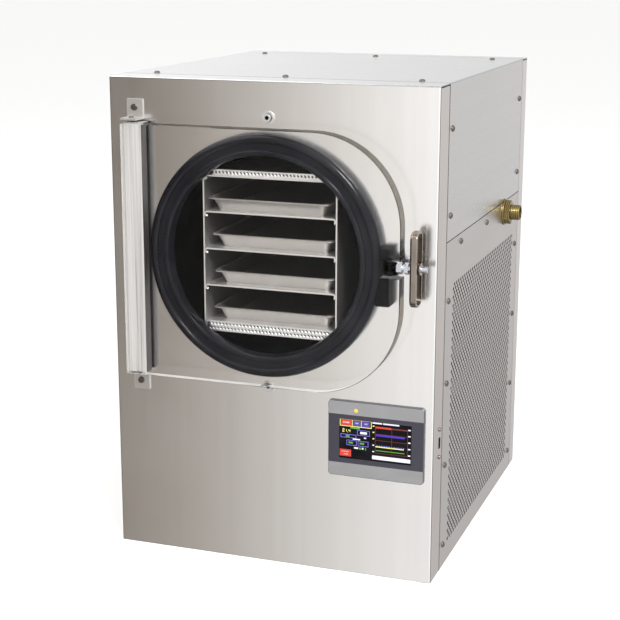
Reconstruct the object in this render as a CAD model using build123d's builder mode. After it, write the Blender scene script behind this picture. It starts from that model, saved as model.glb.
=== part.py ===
"""Bench freeze dryer: sheet-metal cabinet, round vacuum chamber, clear swing door, tray rack, cooling plant.

Frame: millimetres, +Z up, origin on the floor under the centre of the cabinet, front face towards -Y.
"""

from build123d import *
import math
import os

# ---- driving sizes -------------------------------------------------------------------------------
CAB_W = 440.0  # cabinet width
CAB_D = 509.0  # cabinet depth
CAB_H = 637.0  # cabinet height
SHEET = 1.2  # panel sheet thickness
FRAME_T = 1.5  # inner frame sheet thickness
BEND_R = 2.0  # outer bend radius of the folded pans
FRONT_FLANGE = 44.0  # depth of the front panel's folded sides
REAR_FLANGE = 31.0  # depth of the rear panel's folded sides
SEAM = 1.2  # open gap between neighbouring panels
COVER_DROP = 197.5  # how far the top cover's sides hang down
PAN_LIP = 22.0  # height of the base pan's upturned edge

CH_X = -0.5  # chamber axis, across
CH_Z = 417.5  # chamber axis, above the floor
CH_R = 140.0  # chamber inside radius
CH_WALL = 2.0  # chamber wall
CH_NOSE = 12.0  # how far the drum stands out of the front panel
CH_DEPTH = 400.0  # chamber length behind the front panel
CH_FLANGE_R = 184.0  # welded flange behind the front panel
CH_FLANGE_T = 3.0
CH_FIX_R = 173.8  # pitch radius of the two flange bolts
INSUL_R = 168.0  # outside of the foam jacket
COIL_PITCH = 56.0  # spacing of the evaporator turns
COIL_T = 8.0  # evaporator tube, across its flats

SEAL_R = CH_R + 16.0  # gasket outside radius
SEAL_T = 19.5  # how far the gasket stands out of the front panel
SEAL_ROUND = 8.0  # radius over the crown's outer shoulder
SEAL_CROWN_R = CH_R + 5.5  # inner side of the crown's flat
SEAL_GROOVE = (CH_R - 4.0, CH_R + 4.0)  # radii of the two walls of the face groove
SEAL_GROOVE_T = 4.0  # depth of the face groove
SEAL_LIP_R = CH_R - 11.0  # gasket mouth radius at the front
SEAL_THROAT_R = CH_R - 12.7  # gasket mouth radius at its inner end
SEAL_LIP_T = 15.5  # length of the mouth
SEAL_LIP_BACK = 0.8  # how far the lip stays behind the crown

DOOR_T = 19.0  # clear door plate thickness
DOOR_L = -187.0  # door left edge
DOOR_R = 184.0  # door right edge
DOOR_LOW = 253.0
DOOR_TOP = 580.5
DOOR_CORNER = 114.0  # radius of the two right-hand corners
NOTCH_X = 158.0  # inner end of the latch notch
NOTCH_H = 21.0  # notch height

HINGE_X = -183.5  # hinge pin axis, across
HINGE_OUT = 12.0  # hinge pin axis, in front of the panel
HINGE_PIN_R = 1.5
PIN_FIT = 0.05  # running clearance on a radius
BAR_L = -190.0  # hinge bar left side
BAR_R = -163.0  # hinge bar right side
BAR_OUT = 3.5  # hinge bar's gap to the panel
BUSH_R = 3.0
BUSH_L = 9.5
LEAF_T = 2.5  # hinge bracket plate
LEAF_OUT = 23.0  # how far the bracket's leaf stands out
LEAF_GAP = 2.5  # bracket leaf to door edge

LATCH_X = 165.5  # latch pivot, across
LATCH_OUT = 21.5  # latch pivot, in front of the panel
LATCH_PIN_R = 2.0
BOLT_R = 4.0  # swing bolt radius
BOLT_L = 48.0  # swing bolt, pivot to tip
EAR_H = 9.5  # half height of the clevis nose
EAR_R = 6.0
HANDLE_AT = 29.0  # handle's inner face, from the pivot
HANDLE_T = 9.0  # handle thickness along the bolt
HANDLE_W = 28.0
HANDLE_H = 94.0
HANDLE_CORNER = 11.0
HANDLE_RIM = 3.0  # rim round the dished outer face
HANDLE_DISH = 5.5
HUB_R = 7.5
HUB_OUT = 2.5  # how far the hub stands out of the rim

RACK_W = 181.0
RACK_L = 356.0
RACK_T = 2.0
RACK_FRONT = -253.5
RACK_OFF = 2.8  # the rack stands this far to the right of the drum's axis
SHELF_Z = (324.4, 372.4, 420.1, 468.0)  # undersides of the four tray shelves
RACK_TOP = 516.5
SHELF_LIP = 8.0  # height of a shelf's turned-down sides
MAT_TOP_T = 7.5  # reflective mat on the top plate
MAT_TOP_W = 154.0
MAT_LOW_T = 12.0  # reflective mat under the lowest shelf
MAT_LOW_W = 168.0
TRAY_TOP_W = 160.0
TRAY_LOW_W = 142.0
TRAY_L = 330.0
TRAY_H = 17.0
TRAY_T = 0.8
TRAY_LIP = 2.6
TRAY_PLACES = ((2.0, 8.0), (3.5, 8.0), (0.0, 10.0), (-2.0, 2.0))  # off centre, back from the front

BEZEL_L, BEZEL_R, BEZEL_LOW, BEZEL_TOP = 81.5, 209.0, 134.0, 235.0
BEZEL_T = 4.0
SCREEN_L, SCREEN_R, SCREEN_LOW, SCREEN_TOP = 96.5, 192.7, 158.5, 211.0
LED_X, LED_Z, LED_R = 119.0, 223.6, 2.6

VAC_Y = 127.5  # vacuum outlet on the right side
VAC_Z = 423.0
VAC_NOSE_R = 10.9
VAC_BORE_R = 8.0
VAC_PIPE_R = 9.5

DRAIN_Y = 120.0  # drain line and valve on the left side
DRAIN_Z = 60.0

FAN_X = 133.0  # fan disc centre, across
FAN_SHAFT_R = 3.0
FAN_Z = 127.0
FAN_R = 98.0
FAN_BLADES = 5
COMP_X, COMP_Y = -108.0, -55.0  # compressor centre
COMP_R = 74.0
COMP_H = 188.0

SCREW_R = 2.0
SCREW_L = 5.0  # shank length
SCREW_SIDES = 8  # the hidden shanks are plain prisms
HEAD_R = 4.2
HEAD_H = 2.3

FRONT_Y = -CAB_D / 2
BACK_Y = CAB_D / 2
SIDE_X = CAB_W / 2
FRONT_EDGE = FRONT_Y + FRONT_FLANGE  # where the front panel's flanges end
REAR_EDGE = BACK_Y - REAR_FLANGE
SPLIT_Z = CAB_H - COVER_DROP  # lower edge of the top cover
SIDE_FRONT_Y = FRONT_EDGE + 17.0  # front column of side screws
SIDE_BACK_Y = REAR_EDGE - 17.0
UPPER_ROWS = (580.0, 471.0)
LOWER_ROWS = (361.0, 252.0, 141.0, 30.0)
RAIL_SPOTS = ((-134.9, 428.0), (13.3, 427.0))  # side screws into the rail under the split
TOP_XS = (-180.0, 0.0, 180.0)
TOP_YS = (-194.5, 194.5)
REAR_SPOTS = tuple((x, z) for x in (-210.0, 210.0) for z in (42.0, 234.0, 426.0, 618.0))
USB_Y, USB_Z = FRONT_Y + 31.0, 181.0
USB_SCREW_ZS = (199.0, 162.0)
INLET_X, SOCKET_X, SWITCH_X, POWER_Z = -125.0, -70.0, -172.0, 80.0


def at_x(x):
    """Sketch plane facing +X: local x is +Y, local y is +Z."""
    return Plane.YZ.offset(x)


def at_y(y):
    """Sketch plane facing -Y: local x is +X, local y is +Z."""
    return Plane.XZ.offset(-y)


def at_z(z):
    """Sketch plane facing +Z."""
    return Plane.XY.offset(z)


def box(low, high, mode=Mode.ADD):
    """Adds or cuts a block between two corners in the part being built."""
    with BuildSketch(at_z(low[2])) as outline:
        with Locations(((low[0] + high[0]) / 2, (low[1] + high[1]) / 2)):
            Rectangle(high[0] - low[0], high[1] - low[1])
    extrude(outline.sketch, amount=high[2] - low[2], mode=mode)


def side_spots(rows):
    """(y, z) of the screws of a side panel with the given rows."""
    return [(y, z) for z in rows for y in (SIDE_FRONT_Y, SIDE_BACK_Y)]


def screws_along_x(side, spots):
    """Pan-head screws driven into a side wall; side is +1 or -1."""
    with BuildSketch(at_x(side * (SIDE_X - SCREW_L))) as outline:
        with Locations(*spots):
            RegularPolygon(SCREW_R, SCREW_SIDES)
    extrude(outline.sketch, amount=side * SCREW_L)
    with BuildSketch(at_x(side * SIDE_X)) as outline:
        with Locations(*spots):
            Circle(HEAD_R)
    extrude(outline.sketch, amount=side * HEAD_H, taper=18)


# ---- cabinet sheet metal -------------------------------------------------------------------------
with BuildPart() as base_pan:
    with BuildSketch(at_z(0)):
        Rectangle(CAB_W - 2 * SHEET, CAB_D - 2 * SHEET)
    extrude(amount=PAN_LIP)
    fillet(base_pan.edges().filter_by(Axis.Z), 1.6)
    offset(amount=-FRAME_T, openings=base_pan.faces().sort_by(Axis.Z)[-1])


def folded_pan(face_y, depth):
    """A panel folded back along its sides and top, open at the bottom; depth is signed along Y."""
    inward = math.copysign(SHEET, depth)
    with BuildSketch(at_y(face_y)) as outline:
        with Locations((0, CAB_H / 2)):
            Rectangle(CAB_W, CAB_H)
    pan = extrude(outline.sketch, amount=-depth)
    rim = pan.faces().sort_by(Axis.Y)[0 if depth > 0 else -1]
    fillet(rim.edges().sort_by(Axis.Z)[1:], BEND_R)
    with BuildSketch(at_y(face_y + inward)) as outline:
        with Locations((0, (CAB_H - SHEET) / 2)):
            Rectangle(CAB_W - 2 * SHEET, CAB_H - SHEET)
    extrude(outline.sketch, amount=-depth, mode=Mode.SUBTRACT)
    # open corner between each side flange and the top flange
    for side in (-1, 1):
        low_y, high_y = sorted((face_y + math.copysign(BEND_R + 0.5, depth), face_y + depth * 1.1))
        low_x, high_x = sorted((side * (SIDE_X - SHEET - 0.01), side * (SIDE_X + 1)))
        box((low_x, low_y, CAB_H - SHEET - 1.8), (high_x, high_y, CAB_H - SHEET), Mode.SUBTRACT)


with BuildPart() as front_panel:
    folded_pan(FRONT_Y, FRONT_FLANGE)
    with BuildSketch(at_y(FRONT_Y)):
        with Locations((CH_X, CH_Z)):
            Circle(CH_R + CH_WALL + 0.4)
        with Locations((CH_X, CH_Z + CH_FIX_R), (CH_X, CH_Z - CH_FIX_R)):
            Circle(3.1)
        with Locations(((BEZEL_L + BEZEL_R) / 2, (BEZEL_LOW + BEZEL_TOP) / 2)):
            RectangleRounded(BEZEL_R - BEZEL_L - 12, BEZEL_TOP - BEZEL_LOW - 12, 3)
    extrude(amount=-SHEET * 2, mode=Mode.SUBTRACT)
    with BuildSketch(at_x(SIDE_X)):
        with Locations((USB_Y, USB_Z)):
            RectangleRounded(6.5, 14.5, 1)
        with Locations(*[(USB_Y, z) for z in USB_SCREW_ZS]):
            Circle(1.5)
    extrude(amount=-SHEET * 2, mode=Mode.SUBTRACT)

with BuildPart() as rear_panel:
    folded_pan(BACK_Y, -REAR_FLANGE)
    with BuildSketch(at_y(BACK_Y)):
        with Locations((INLET_X, POWER_Z)):
            Rectangle(28, 34)
        with Locations((SOCKET_X, POWER_Z)):
            Rectangle(28, 34)
        with Locations((SWITCH_X, POWER_Z)):
            Rectangle(13.6, 19.6)
        with Locations(*REAR_SPOTS):
            Circle(SCREW_R)
    extrude(amount=SHEET * 2, mode=Mode.SUBTRACT)

COVER_LEN = REAR_EDGE - FRONT_EDGE - 2 * SEAM
COVER_MID = (REAR_EDGE + FRONT_EDGE) / 2
with BuildPart() as top_cover:
    # an inverted channel: the top and both upper sides folded from one sheet
    with BuildSketch(at_y(FRONT_EDGE + SEAM)):
        with Locations((0, CAB_H - COVER_DROP / 2)):
            Rectangle(CAB_W, COVER_DROP)
    extrude(amount=-COVER_LEN)
    folds = top_cover.edges().filter_by(Axis.Y).group_by(Axis.Z)[-1]
    fillet(folds, BEND_R)
    with BuildSketch(at_y(FRONT_EDGE + SEAM - 1)):
        with Locations((0, CAB_H - SHEET - COVER_DROP / 2)):
            Rectangle(CAB_W - 2 * SHEET, COVER_DROP)
    extrude(amount=-COVER_LEN - 2, mode=Mode.SUBTRACT)
    with BuildSketch(at_z(CAB_H)):
        with Locations(*[(x, y) for x in TOP_XS for y in TOP_YS]):
            Circle(SCREW_R)
    extrude(amount=-SHEET * 2, mode=Mode.SUBTRACT)
    with BuildSketch(at_x(SIDE_X)):
        with Locations(*side_spots(UPPER_ROWS)):
            Circle(SCREW_R)
    extrude(amount=-CAB_W, mode=Mode.SUBTRACT)

SIDE_TOP = SPLIT_Z - SEAM


def side_plate(side):
    """Lower side panel with its screw holes."""
    with BuildSketch(at_x(side * (SIDE_X - SHEET))) as outline:
        with Locations((COVER_MID, SIDE_TOP / 2)):
            Rectangle(COVER_LEN, SIDE_TOP)
        with Locations(*side_spots(LOWER_ROWS), *RAIL_SPOTS):
            Circle(SCREW_R, mode=Mode.SUBTRACT)
        hole = (VAC_Y, VAC_Z, VAC_NOSE_R) if side > 0 else (DRAIN_Y, DRAIN_Z, 7.0)
        with Locations(hole[:2]):
            Circle(hole[2], mode=Mode.SUBTRACT)
    extrude(outline.sketch, amount=side * SHEET)


with BuildPart() as side_panel_right:
    side_plate(1)

with BuildPart() as side_panel_left:
    side_plate(-1)

INNER_X = SIDE_X - SHEET
POST_FRONT = (FRONT_Y + SHEET, FRONT_EDGE + 30.0)
POST_BACK = (REAR_EDGE - 36.0, BACK_Y - SHEET)
POST_LEG = 14.0  # width of a post's leg along the front and rear panels
FRAME_TOP = CAB_H - SHEET
with BuildPart() as inner_frame:
    for side in (-1, 1):
        low_x, high_x = sorted((side * INNER_X, side * (INNER_X - FRAME_T)))
        leg_low, leg_high = sorted((side * INNER_X, side * (INNER_X - POST_LEG)))
        # corner posts behind the open seams, standing on the base pan's lip
        for low_y, high_y in (POST_FRONT, POST_BACK):
            box((low_x, low_y, PAN_LIP), (high_x, high_y, FRAME_TOP))
        for y in (POST_FRONT[0], POST_BACK[1] - FRAME_T):
            box((leg_low, y, PAN_LIP), (leg_high, y + FRAME_T, FRAME_TOP))
        # rail under the split between top cover and side panel
        box((low_x, POST_FRONT[0], SPLIT_Z - 18), (high_x, POST_BACK[1], SPLIT_Z + 12))
    for low_y, high_y in (POST_FRONT, POST_BACK):
        box((-INNER_X, low_y, FRAME_TOP - FRAME_T), (INNER_X, high_y, FRAME_TOP))
    for side in (-1, 1):
        with BuildSketch(at_x(side * INNER_X)):
            with Locations(*side_spots(UPPER_ROWS + LOWER_ROWS), *RAIL_SPOTS):
                Circle(SCREW_R)
        extrude(amount=-side * FRAME_T * 2, mode=Mode.SUBTRACT)
    with BuildSketch(at_x(INNER_X)):
        with Locations((VAC_Y, VAC_Z)):
            Circle(VAC_NOSE_R + 6)
        with Locations((USB_Y, USB_Z)):
            Rectangle(16, 54)
    extrude(amount=-FRAME_T * 2, mode=Mode.SUBTRACT)
    with BuildSketch(at_z(FRAME_TOP)):
        with Locations(*[(x, y) for x in TOP_XS for y in TOP_YS]):
            Circle(SCREW_R)
    extrude(amount=-FRAME_T * 2, mode=Mode.SUBTRACT)
    with BuildSketch(at_y(BACK_Y)):
        with Locations(*REAR_SPOTS):
            Circle(SCREW_R)
    extrude(amount=8, mode=Mode.SUBTRACT)

with BuildPart() as panel_screws:
    top_spots = [(x, y) for x in TOP_XS for y in TOP_YS]
    with BuildSketch(at_z(CAB_H - SCREW_L)):
        with Locations(*top_spots):
            RegularPolygon(SCREW_R, SCREW_SIDES)
    extrude(amount=SCREW_L)
    with BuildSketch(at_z(CAB_H)):
        with Locations(*top_spots):
            Circle(HEAD_R)
    extrude(amount=HEAD_H, taper=18)
    for side in (-1, 1):
        screws_along_x(side, side_spots(UPPER_ROWS + LOWER_ROWS) + list(RAIL_SPOTS))
    with BuildSketch(at_y(BACK_Y - SCREW_L)):
        with Locations(*REAR_SPOTS):
            RegularPolygon(SCREW_R, SCREW_SIDES)
    extrude(amount=-SCREW_L)
    with BuildSketch(at_y(BACK_Y)):
        with Locations(*REAR_SPOTS):
            Circle(HEAD_R)
    extrude(amount=-HEAD_H, taper=18)

# ---- vacuum chamber ------------------------------------------------------------------------------
CH_BACK = FRONT_Y + CH_DEPTH
CH_OUT_R = CH_R + CH_WALL
INSUL_FRONT = FRONT_Y + SHEET + CH_FLANGE_T
with BuildPart() as chamber:
    # half section in the plane through the axis, revolved about Y
    with BuildSketch(Plane.XY.offset(CH_Z)):
        with BuildLine():
            nose = FRONT_Y - CH_NOSE
            Polyline(
                (CH_X, CH_BACK),
                (CH_X, CH_BACK - 3.0),
                (CH_X + CH_R - 14, CH_BACK - 3.0),
                (CH_X + CH_R, CH_BACK - 17.0),
                (CH_X + CH_R, nose),
                (CH_X + CH_OUT_R, nose),
                (CH_X + CH_OUT_R, FRONT_Y + SHEET),
                (CH_X + CH_FLANGE_R, FRONT_Y + SHEET),
                (CH_X + CH_FLANGE_R, INSUL_FRONT),
                (CH_X + CH_OUT_R, INSUL_FRONT),
                (CH_X + CH_OUT_R, CH_BACK - 15.5),
                (CH_X + CH_R - 12.5, CH_BACK),
                close=True,
            )
        make_face()
    revolve(axis=Axis((CH_X, 0, CH_Z), (0, 1, 0)), revolution_arc=360)
    with BuildSketch(at_y(FRONT_Y + SHEET)):
        with Locations((CH_X, CH_Z + CH_FIX_R), (CH_X, CH_Z - CH_FIX_R)):
            Circle(3.1)
    extrude(amount=-CH_FLANGE_T, mode=Mode.SUBTRACT)
    with BuildSketch(at_x(CH_X + CH_R - 12)):
        with Locations((VAC_Y, VAC_Z)):
            Circle(VAC_BORE_R)
    extrude(amount=20, mode=Mode.SUBTRACT)
    with BuildSketch(at_z(CH_Z - CH_OUT_R - 2)):
        with Locations((CH_X, DRAIN_Y)):
            Circle(5.0)
    extrude(amount=8, mode=Mode.SUBTRACT)

COIL_YS = [FRONT_Y + 52 + i * COIL_PITCH for i in range(6)]
with BuildPart() as cooling_coil:
    for y in COIL_YS:
        with BuildSketch(at_y(y)):
            with Locations((CH_X, CH_Z)):
                Circle(CH_OUT_R + COIL_T)
                Circle(CH_OUT_R, mode=Mode.SUBTRACT)
        extrude(amount=-COIL_T)
    box(
        (CH_X - 6, COIL_YS[0], CH_Z + CH_OUT_R + 1),
        (CH_X + 6, COIL_YS[-1] + COIL_T, CH_Z + CH_OUT_R + COIL_T),
    )

with BuildPart() as chamber_insulation:
    with BuildSketch(at_y(INSUL_FRONT)):
        with Locations((CH_X, CH_Z)):
            Circle(INSUL_R)
            Circle(CH_OUT_R, mode=Mode.SUBTRACT)
    extrude(amount=-(CH_BACK - INSUL_FRONT + 22))
    with BuildSketch(at_y(CH_BACK)):
        with Locations((CH_X, CH_Z)):
            Circle(CH_OUT_R + 0.5)
    extrude(amount=-22)
    with BuildSketch(at_x(CH_X + CH_R - 10)):
        with Locations((VAC_Y, VAC_Z)):
            Circle(VAC_PIPE_R)
    extrude(amount=60, mode=Mode.SUBTRACT)
    with BuildSketch(at_z(CH_Z - INSUL_R - 10)):
        with Locations((CH_X, DRAIN_Y)):
            Circle(6.5)
    extrude(amount=60, mode=Mode.SUBTRACT)
    add(chamber.part, mode=Mode.SUBTRACT)
    add(cooling_coil.part, mode=Mode.SUBTRACT)
    # the two flange bolts pass beside the jacket
    with BuildSketch(at_y(INSUL_FRONT)):
        with Locations((CH_X, CH_Z + CH_FIX_R), (CH_X, CH_Z - CH_FIX_R)):
            Circle(9.0)
    extrude(amount=-14, mode=Mode.SUBTRACT)

CRADLE_Y = 150.0
with BuildPart() as chamber_cradle:
    with BuildSketch(at_y(CRADLE_Y)):
        with Locations((CH_X, 150)):
            Rectangle(220, 300 - 2 * FRAME_T)
        with Locations((CH_X, CH_Z)):
            Circle(INSUL_R, mode=Mode.SUBTRACT)
        with Locations((CH_X, 120)):
            RectangleRounded(150, 130, 20, mode=Mode.SUBTRACT)
    extrude(amount=-2.0)
    box((CH_X - 110, CRADLE_Y, FRAME_T), (CH_X + 110, CRADLE_Y + 25, FRAME_T + 2.0))

with BuildPart() as door_gasket:
    with BuildSketch(Plane.XY.offset(CH_Z)):
        with BuildLine():
            face = FRONT_Y - SEAL_T
            lip = face + SEAL_LIP_BACK
            groove_in, groove_out = CH_X + SEAL_GROOVE[0], CH_X + SEAL_GROOVE[1]
            edge = 1.5  # the crown's inner edge is rounded by this much
            Line((CH_X + SEAL_R, FRONT_Y), (CH_X + SEAL_R, face + SEAL_ROUND))
            RadiusArc(
                (CH_X + SEAL_R, face + SEAL_ROUND), (CH_X + SEAL_R - SEAL_ROUND, face), SEAL_ROUND
            )
            Line((CH_X + SEAL_R - SEAL_ROUND, face), (CH_X + SEAL_CROWN_R, face))
            RadiusArc((CH_X + SEAL_CROWN_R, face), (groove_out, face + edge), edge)
            Polyline(
                (groove_out, face + edge),
                (groove_out, face + SEAL_GROOVE_T),
                (groove_in, face + SEAL_GROOVE_T),
                (groove_in, lip + 1.2),
            )
            RadiusArc((groove_in, lip + 1.2), (groove_in - 1.2, lip), 1.2)
            Line((groove_in - 1.2, lip), (CH_X + SEAL_LIP_R + 2.0, lip))
            RadiusArc((CH_X + SEAL_LIP_R + 2.0, lip), (CH_X + SEAL_LIP_R, lip + 2.0), 2.0)
            # the mouth narrows inwards; the sleeve behind it lines the drum's rim
            Polyline(
                (CH_X + SEAL_LIP_R, lip + 2.0),
                (CH_X + SEAL_THROAT_R, face + SEAL_LIP_T - 1.0),
                (CH_X + SEAL_THROAT_R + 1.0, face + SEAL_LIP_T),
                (CH_X + CH_R - 2.0, face + SEAL_LIP_T),
                (CH_X + CH_R - 2.0, FRONT_Y + 4.0),
                (CH_X + CH_R, FRONT_Y + 4.0),
                (CH_X + CH_R, FRONT_Y - CH_NOSE),
                (CH_X + CH_OUT_R, FRONT_Y - CH_NOSE),
                (CH_X + CH_OUT_R, FRONT_Y),
                (CH_X + SEAL_R, FRONT_Y),
            )
        make_face()
    revolve(axis=Axis((CH_X, 0, CH_Z), (0, 1, 0)), revolution_arc=360)

with BuildPart() as front_bolts:
    for z in (CH_Z + CH_FIX_R, CH_Z - CH_FIX_R):
        with BuildSketch(at_y(FRONT_Y)):
            with Locations((CH_X, z)):
                Circle(8.0)
        extrude(amount=1.8)
        with BuildSketch(at_y(FRONT_Y - 1.8)):
            with Locations((CH_X, z)):
                Circle(5.6)
        extrude(amount=3.6, taper=6)
        with BuildSketch(at_y(FRONT_Y)):
            with Locations((CH_X, z)):
                Circle(3.0)
        extrude(amount=-14.0)
        with BuildSketch(at_y(FRONT_Y - 5.4)):
            with Locations((CH_X, z)):
                RegularPolygon(2.9, 6)
        extrude(amount=-3.2, mode=Mode.SUBTRACT)

with BuildPart() as flange_nuts:
    with BuildSketch(at_y(INSUL_FRONT)):
        with Locations((CH_X, CH_Z + CH_FIX_R), (CH_X, CH_Z - CH_FIX_R)):
            RegularPolygon(5.7, 6)
            Circle(3.0, mode=Mode.SUBTRACT)
    extrude(amount=-5.0)

PIPE_X = CH_X + CH_R + 0.6  # inside the drum's wall, so the pipe ends on its curve
with BuildPart() as vacuum_pipe:
    with BuildSketch(at_x(PIPE_X)):
        with Locations((VAC_Y, VAC_Z)):
            Circle(VAC_PIPE_R)
            Circle(VAC_BORE_R, mode=Mode.SUBTRACT)
    extrude(amount=INNER_X - 6 - PIPE_X)
    add(chamber.part, mode=Mode.SUBTRACT)

with BuildPart() as vacuum_fitting:
    # hex-shouldered flare fitting through the side panel
    with BuildSketch(Plane.XY.offset(VAC_Z)):
        with BuildLine():
            Polyline(
                (INNER_X - 6, VAC_Y + VAC_BORE_R),
                (INNER_X - 6, VAC_Y + VAC_NOSE_R - 0.6),
                (INNER_X, VAC_Y + VAC_NOSE_R - 0.6),
                (SIDE_X, VAC_Y + VAC_NOSE_R - 0.6),
                (SIDE_X, VAC_Y + 19.0),
                (SIDE_X + 2.0, VAC_Y + 19.0),
                (SIDE_X + 2.0, VAC_Y + VAC_NOSE_R),
                (SIDE_X + 22.5, VAC_Y + VAC_NOSE_R),
                (SIDE_X + 23.5, VAC_Y + VAC_NOSE_R - 1.2),
                (SIDE_X + 23.5, VAC_Y + VAC_BORE_R),
                close=True,
            )
        make_face()
    revolve(axis=Axis((0, VAC_Y, VAC_Z), (1, 0, 0)), revolution_arc=360)
    with BuildSketch(at_x(SIDE_X + 2.0)):
        with Locations((VAC_Y, VAC_Z)):
            RegularPolygon(17.4, 6, rotation=30)
            Circle(VAC_NOSE_R - 1, mode=Mode.SUBTRACT)
    extrude(amount=8.0)

# ---- rack and trays ------------------------------------------------------------------------------
RACK_X = CH_X + RACK_OFF
RACK_BACK = RACK_FRONT + RACK_L


with BuildPart() as rack_sides:
    for side in (-1, 1):
        x = RACK_X + side * (RACK_W - RACK_T) / 2
        box(
            (x - RACK_T / 2, RACK_FRONT, SHELF_Z[0] + RACK_T - SHELF_LIP),
            (x + RACK_T / 2, RACK_BACK, RACK_TOP - RACK_T),
        )


def folded_shelf(z):
    """One shelf with its top at z, folded down at both sides."""
    width = RACK_W - 2 * RACK_T
    with BuildSketch(at_y(RACK_FRONT)) as section:
        with Locations((RACK_X, z - SHELF_LIP / 2)):
            Rectangle(width, SHELF_LIP)
        fillet(section.vertices().group_by(Axis.Z)[-1], 3.5)
        with Locations((RACK_X, z - SHELF_LIP / 2 - RACK_T)):
            Rectangle(width - 2 * RACK_T, SHELF_LIP, mode=Mode.SUBTRACT)
    extrude(section.sketch, amount=-RACK_L)


with BuildPart() as rack_shelves:
    for z in SHELF_Z:
        folded_shelf(z + RACK_T)

with BuildPart() as rack_cap:
    folded_shelf(RACK_TOP)

with BuildPart() as shelf_heaters:
    # silicone heating mats bonded under the upper shelves and the top plate
    for z in (*SHELF_Z[1:], RACK_TOP - RACK_T):
        box(
            (RACK_X - 76, RACK_FRONT + 12, z - 1.5),
            (RACK_X + 76, RACK_BACK - 12, z),
        )

with BuildPart() as rack_shields:
    # reflective mats above the top plate and below the lowest shelf
    for z, thick, width in (
        (RACK_TOP, MAT_TOP_T, MAT_TOP_W),
        (SHELF_Z[0] - MAT_LOW_T, MAT_LOW_T, MAT_LOW_W),
    ):
        box(
            (RACK_X - width / 2, RACK_FRONT + 1, z),
            (RACK_X + width / 2, RACK_BACK - 1, z + thick),
        )

with BuildPart() as rack_glides:
    # two runners shaped to the drum that carry the rack
    glide_z = SHELF_Z[0] - MAT_LOW_T - 15
    with BuildSketch(at_y(RACK_FRONT + 30)):
        with Locations((RACK_X - 66, glide_z), (RACK_X + 66, glide_z)):
            Rectangle(12, 30)
        with Locations((CH_X, CH_Z)):
            Circle(CH_R, mode=Mode.INTERSECT)
    extrude(amount=-(RACK_L - 60))


def make_tray(index):
    """A tapered pan with an outward rim, standing where it was slid in."""
    base_z = SHELF_Z[index] + RACK_T
    off, back = TRAY_PLACES[index]
    x = RACK_X + off
    y = RACK_FRONT + back + TRAY_L / 2
    slope = math.degrees(math.atan((TRAY_TOP_W - TRAY_LOW_W) / 2 / TRAY_H))
    with BuildPart() as tray:
        with BuildSketch(at_z(base_z)):
            with Locations((x, y)):
                RectangleRounded(TRAY_LOW_W, TRAY_L - (TRAY_TOP_W - TRAY_LOW_W), 5)
        extrude(amount=TRAY_H, taper=-slope)
        with BuildSketch(at_z(base_z + TRAY_T)):
            with Locations((x, y)):
                RectangleRounded(
                    TRAY_LOW_W - TRAY_T, TRAY_L - (TRAY_TOP_W - TRAY_LOW_W) - TRAY_T, 5 - TRAY_T / 2
                )
        extrude(amount=TRAY_H, taper=-slope, mode=Mode.SUBTRACT)
        with BuildSketch(at_z(base_z + TRAY_H - 1.6)):
            with Locations((x, y)):
                RectangleRounded(TRAY_TOP_W + 2 * TRAY_LIP, TRAY_L + 2 * TRAY_LIP, 5 + TRAY_LIP)
                RectangleRounded(TRAY_TOP_W - 1.8, TRAY_L - 1.8, 5, mode=Mode.SUBTRACT)
        extrude(amount=1.6)
    return tray


tray_parts = [make_tray(i) for i in range(len(SHELF_Z))]

# ---- door and hinge ------------------------------------------------------------------------------
DOOR_BACK = FRONT_Y - SEAL_T  # the plate's sealing face
with BuildPart() as door_plate:
    with BuildSketch(at_y(DOOR_BACK)) as outline:
        with Locations(((DOOR_L + DOOR_R) / 2, (DOOR_LOW + DOOR_TOP) / 2)):
            Rectangle(DOOR_R - DOOR_L, DOOR_TOP - DOOR_LOW)
        fillet(outline.vertices().sort_by(Axis.X)[2:], DOOR_CORNER)
        fillet(outline.vertices().sort_by(Axis.X)[:2], 3.0)
        with Locations(((NOTCH_X + DOOR_R) / 2 + 5, CH_Z)):
            Rectangle(DOOR_R - NOTCH_X + 10, NOTCH_H, mode=Mode.SUBTRACT)
    extrude(amount=DOOR_T)
    chamfer(door_plate.faces().sort_by(Axis.Y)[0].edges(), 0.8)

BUSH_Z = (DOOR_LOW, DOOR_TOP - BUSH_L)
BAR_Y = (DOOR_BACK, FRONT_Y - BAR_OUT)
PIN_Y = FRONT_Y - HINGE_OUT
with BuildPart() as hinge_bar:
    box((BAR_L, BAR_Y[0], DOOR_LOW), (BAR_R, BAR_Y[1], DOOR_TOP))
    fillet(hinge_bar.edges().filter_by(Axis.Z).group_by(Axis.Y)[-1], 1.5)
    for z in BUSH_Z:
        with BuildSketch(at_z(z)):
            with Locations((HINGE_X, PIN_Y)):
                Circle(BUSH_R)
        extrude(amount=BUSH_L, mode=Mode.SUBTRACT)

with BuildPart() as hinge_bushings:
    for z in BUSH_Z:
        with BuildSketch(at_z(z)):
            with Locations((HINGE_X, PIN_Y)):
                Circle(BUSH_R)
                Circle(HINGE_PIN_R + PIN_FIT, mode=Mode.SUBTRACT)
        extrude(amount=BUSH_L)


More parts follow.
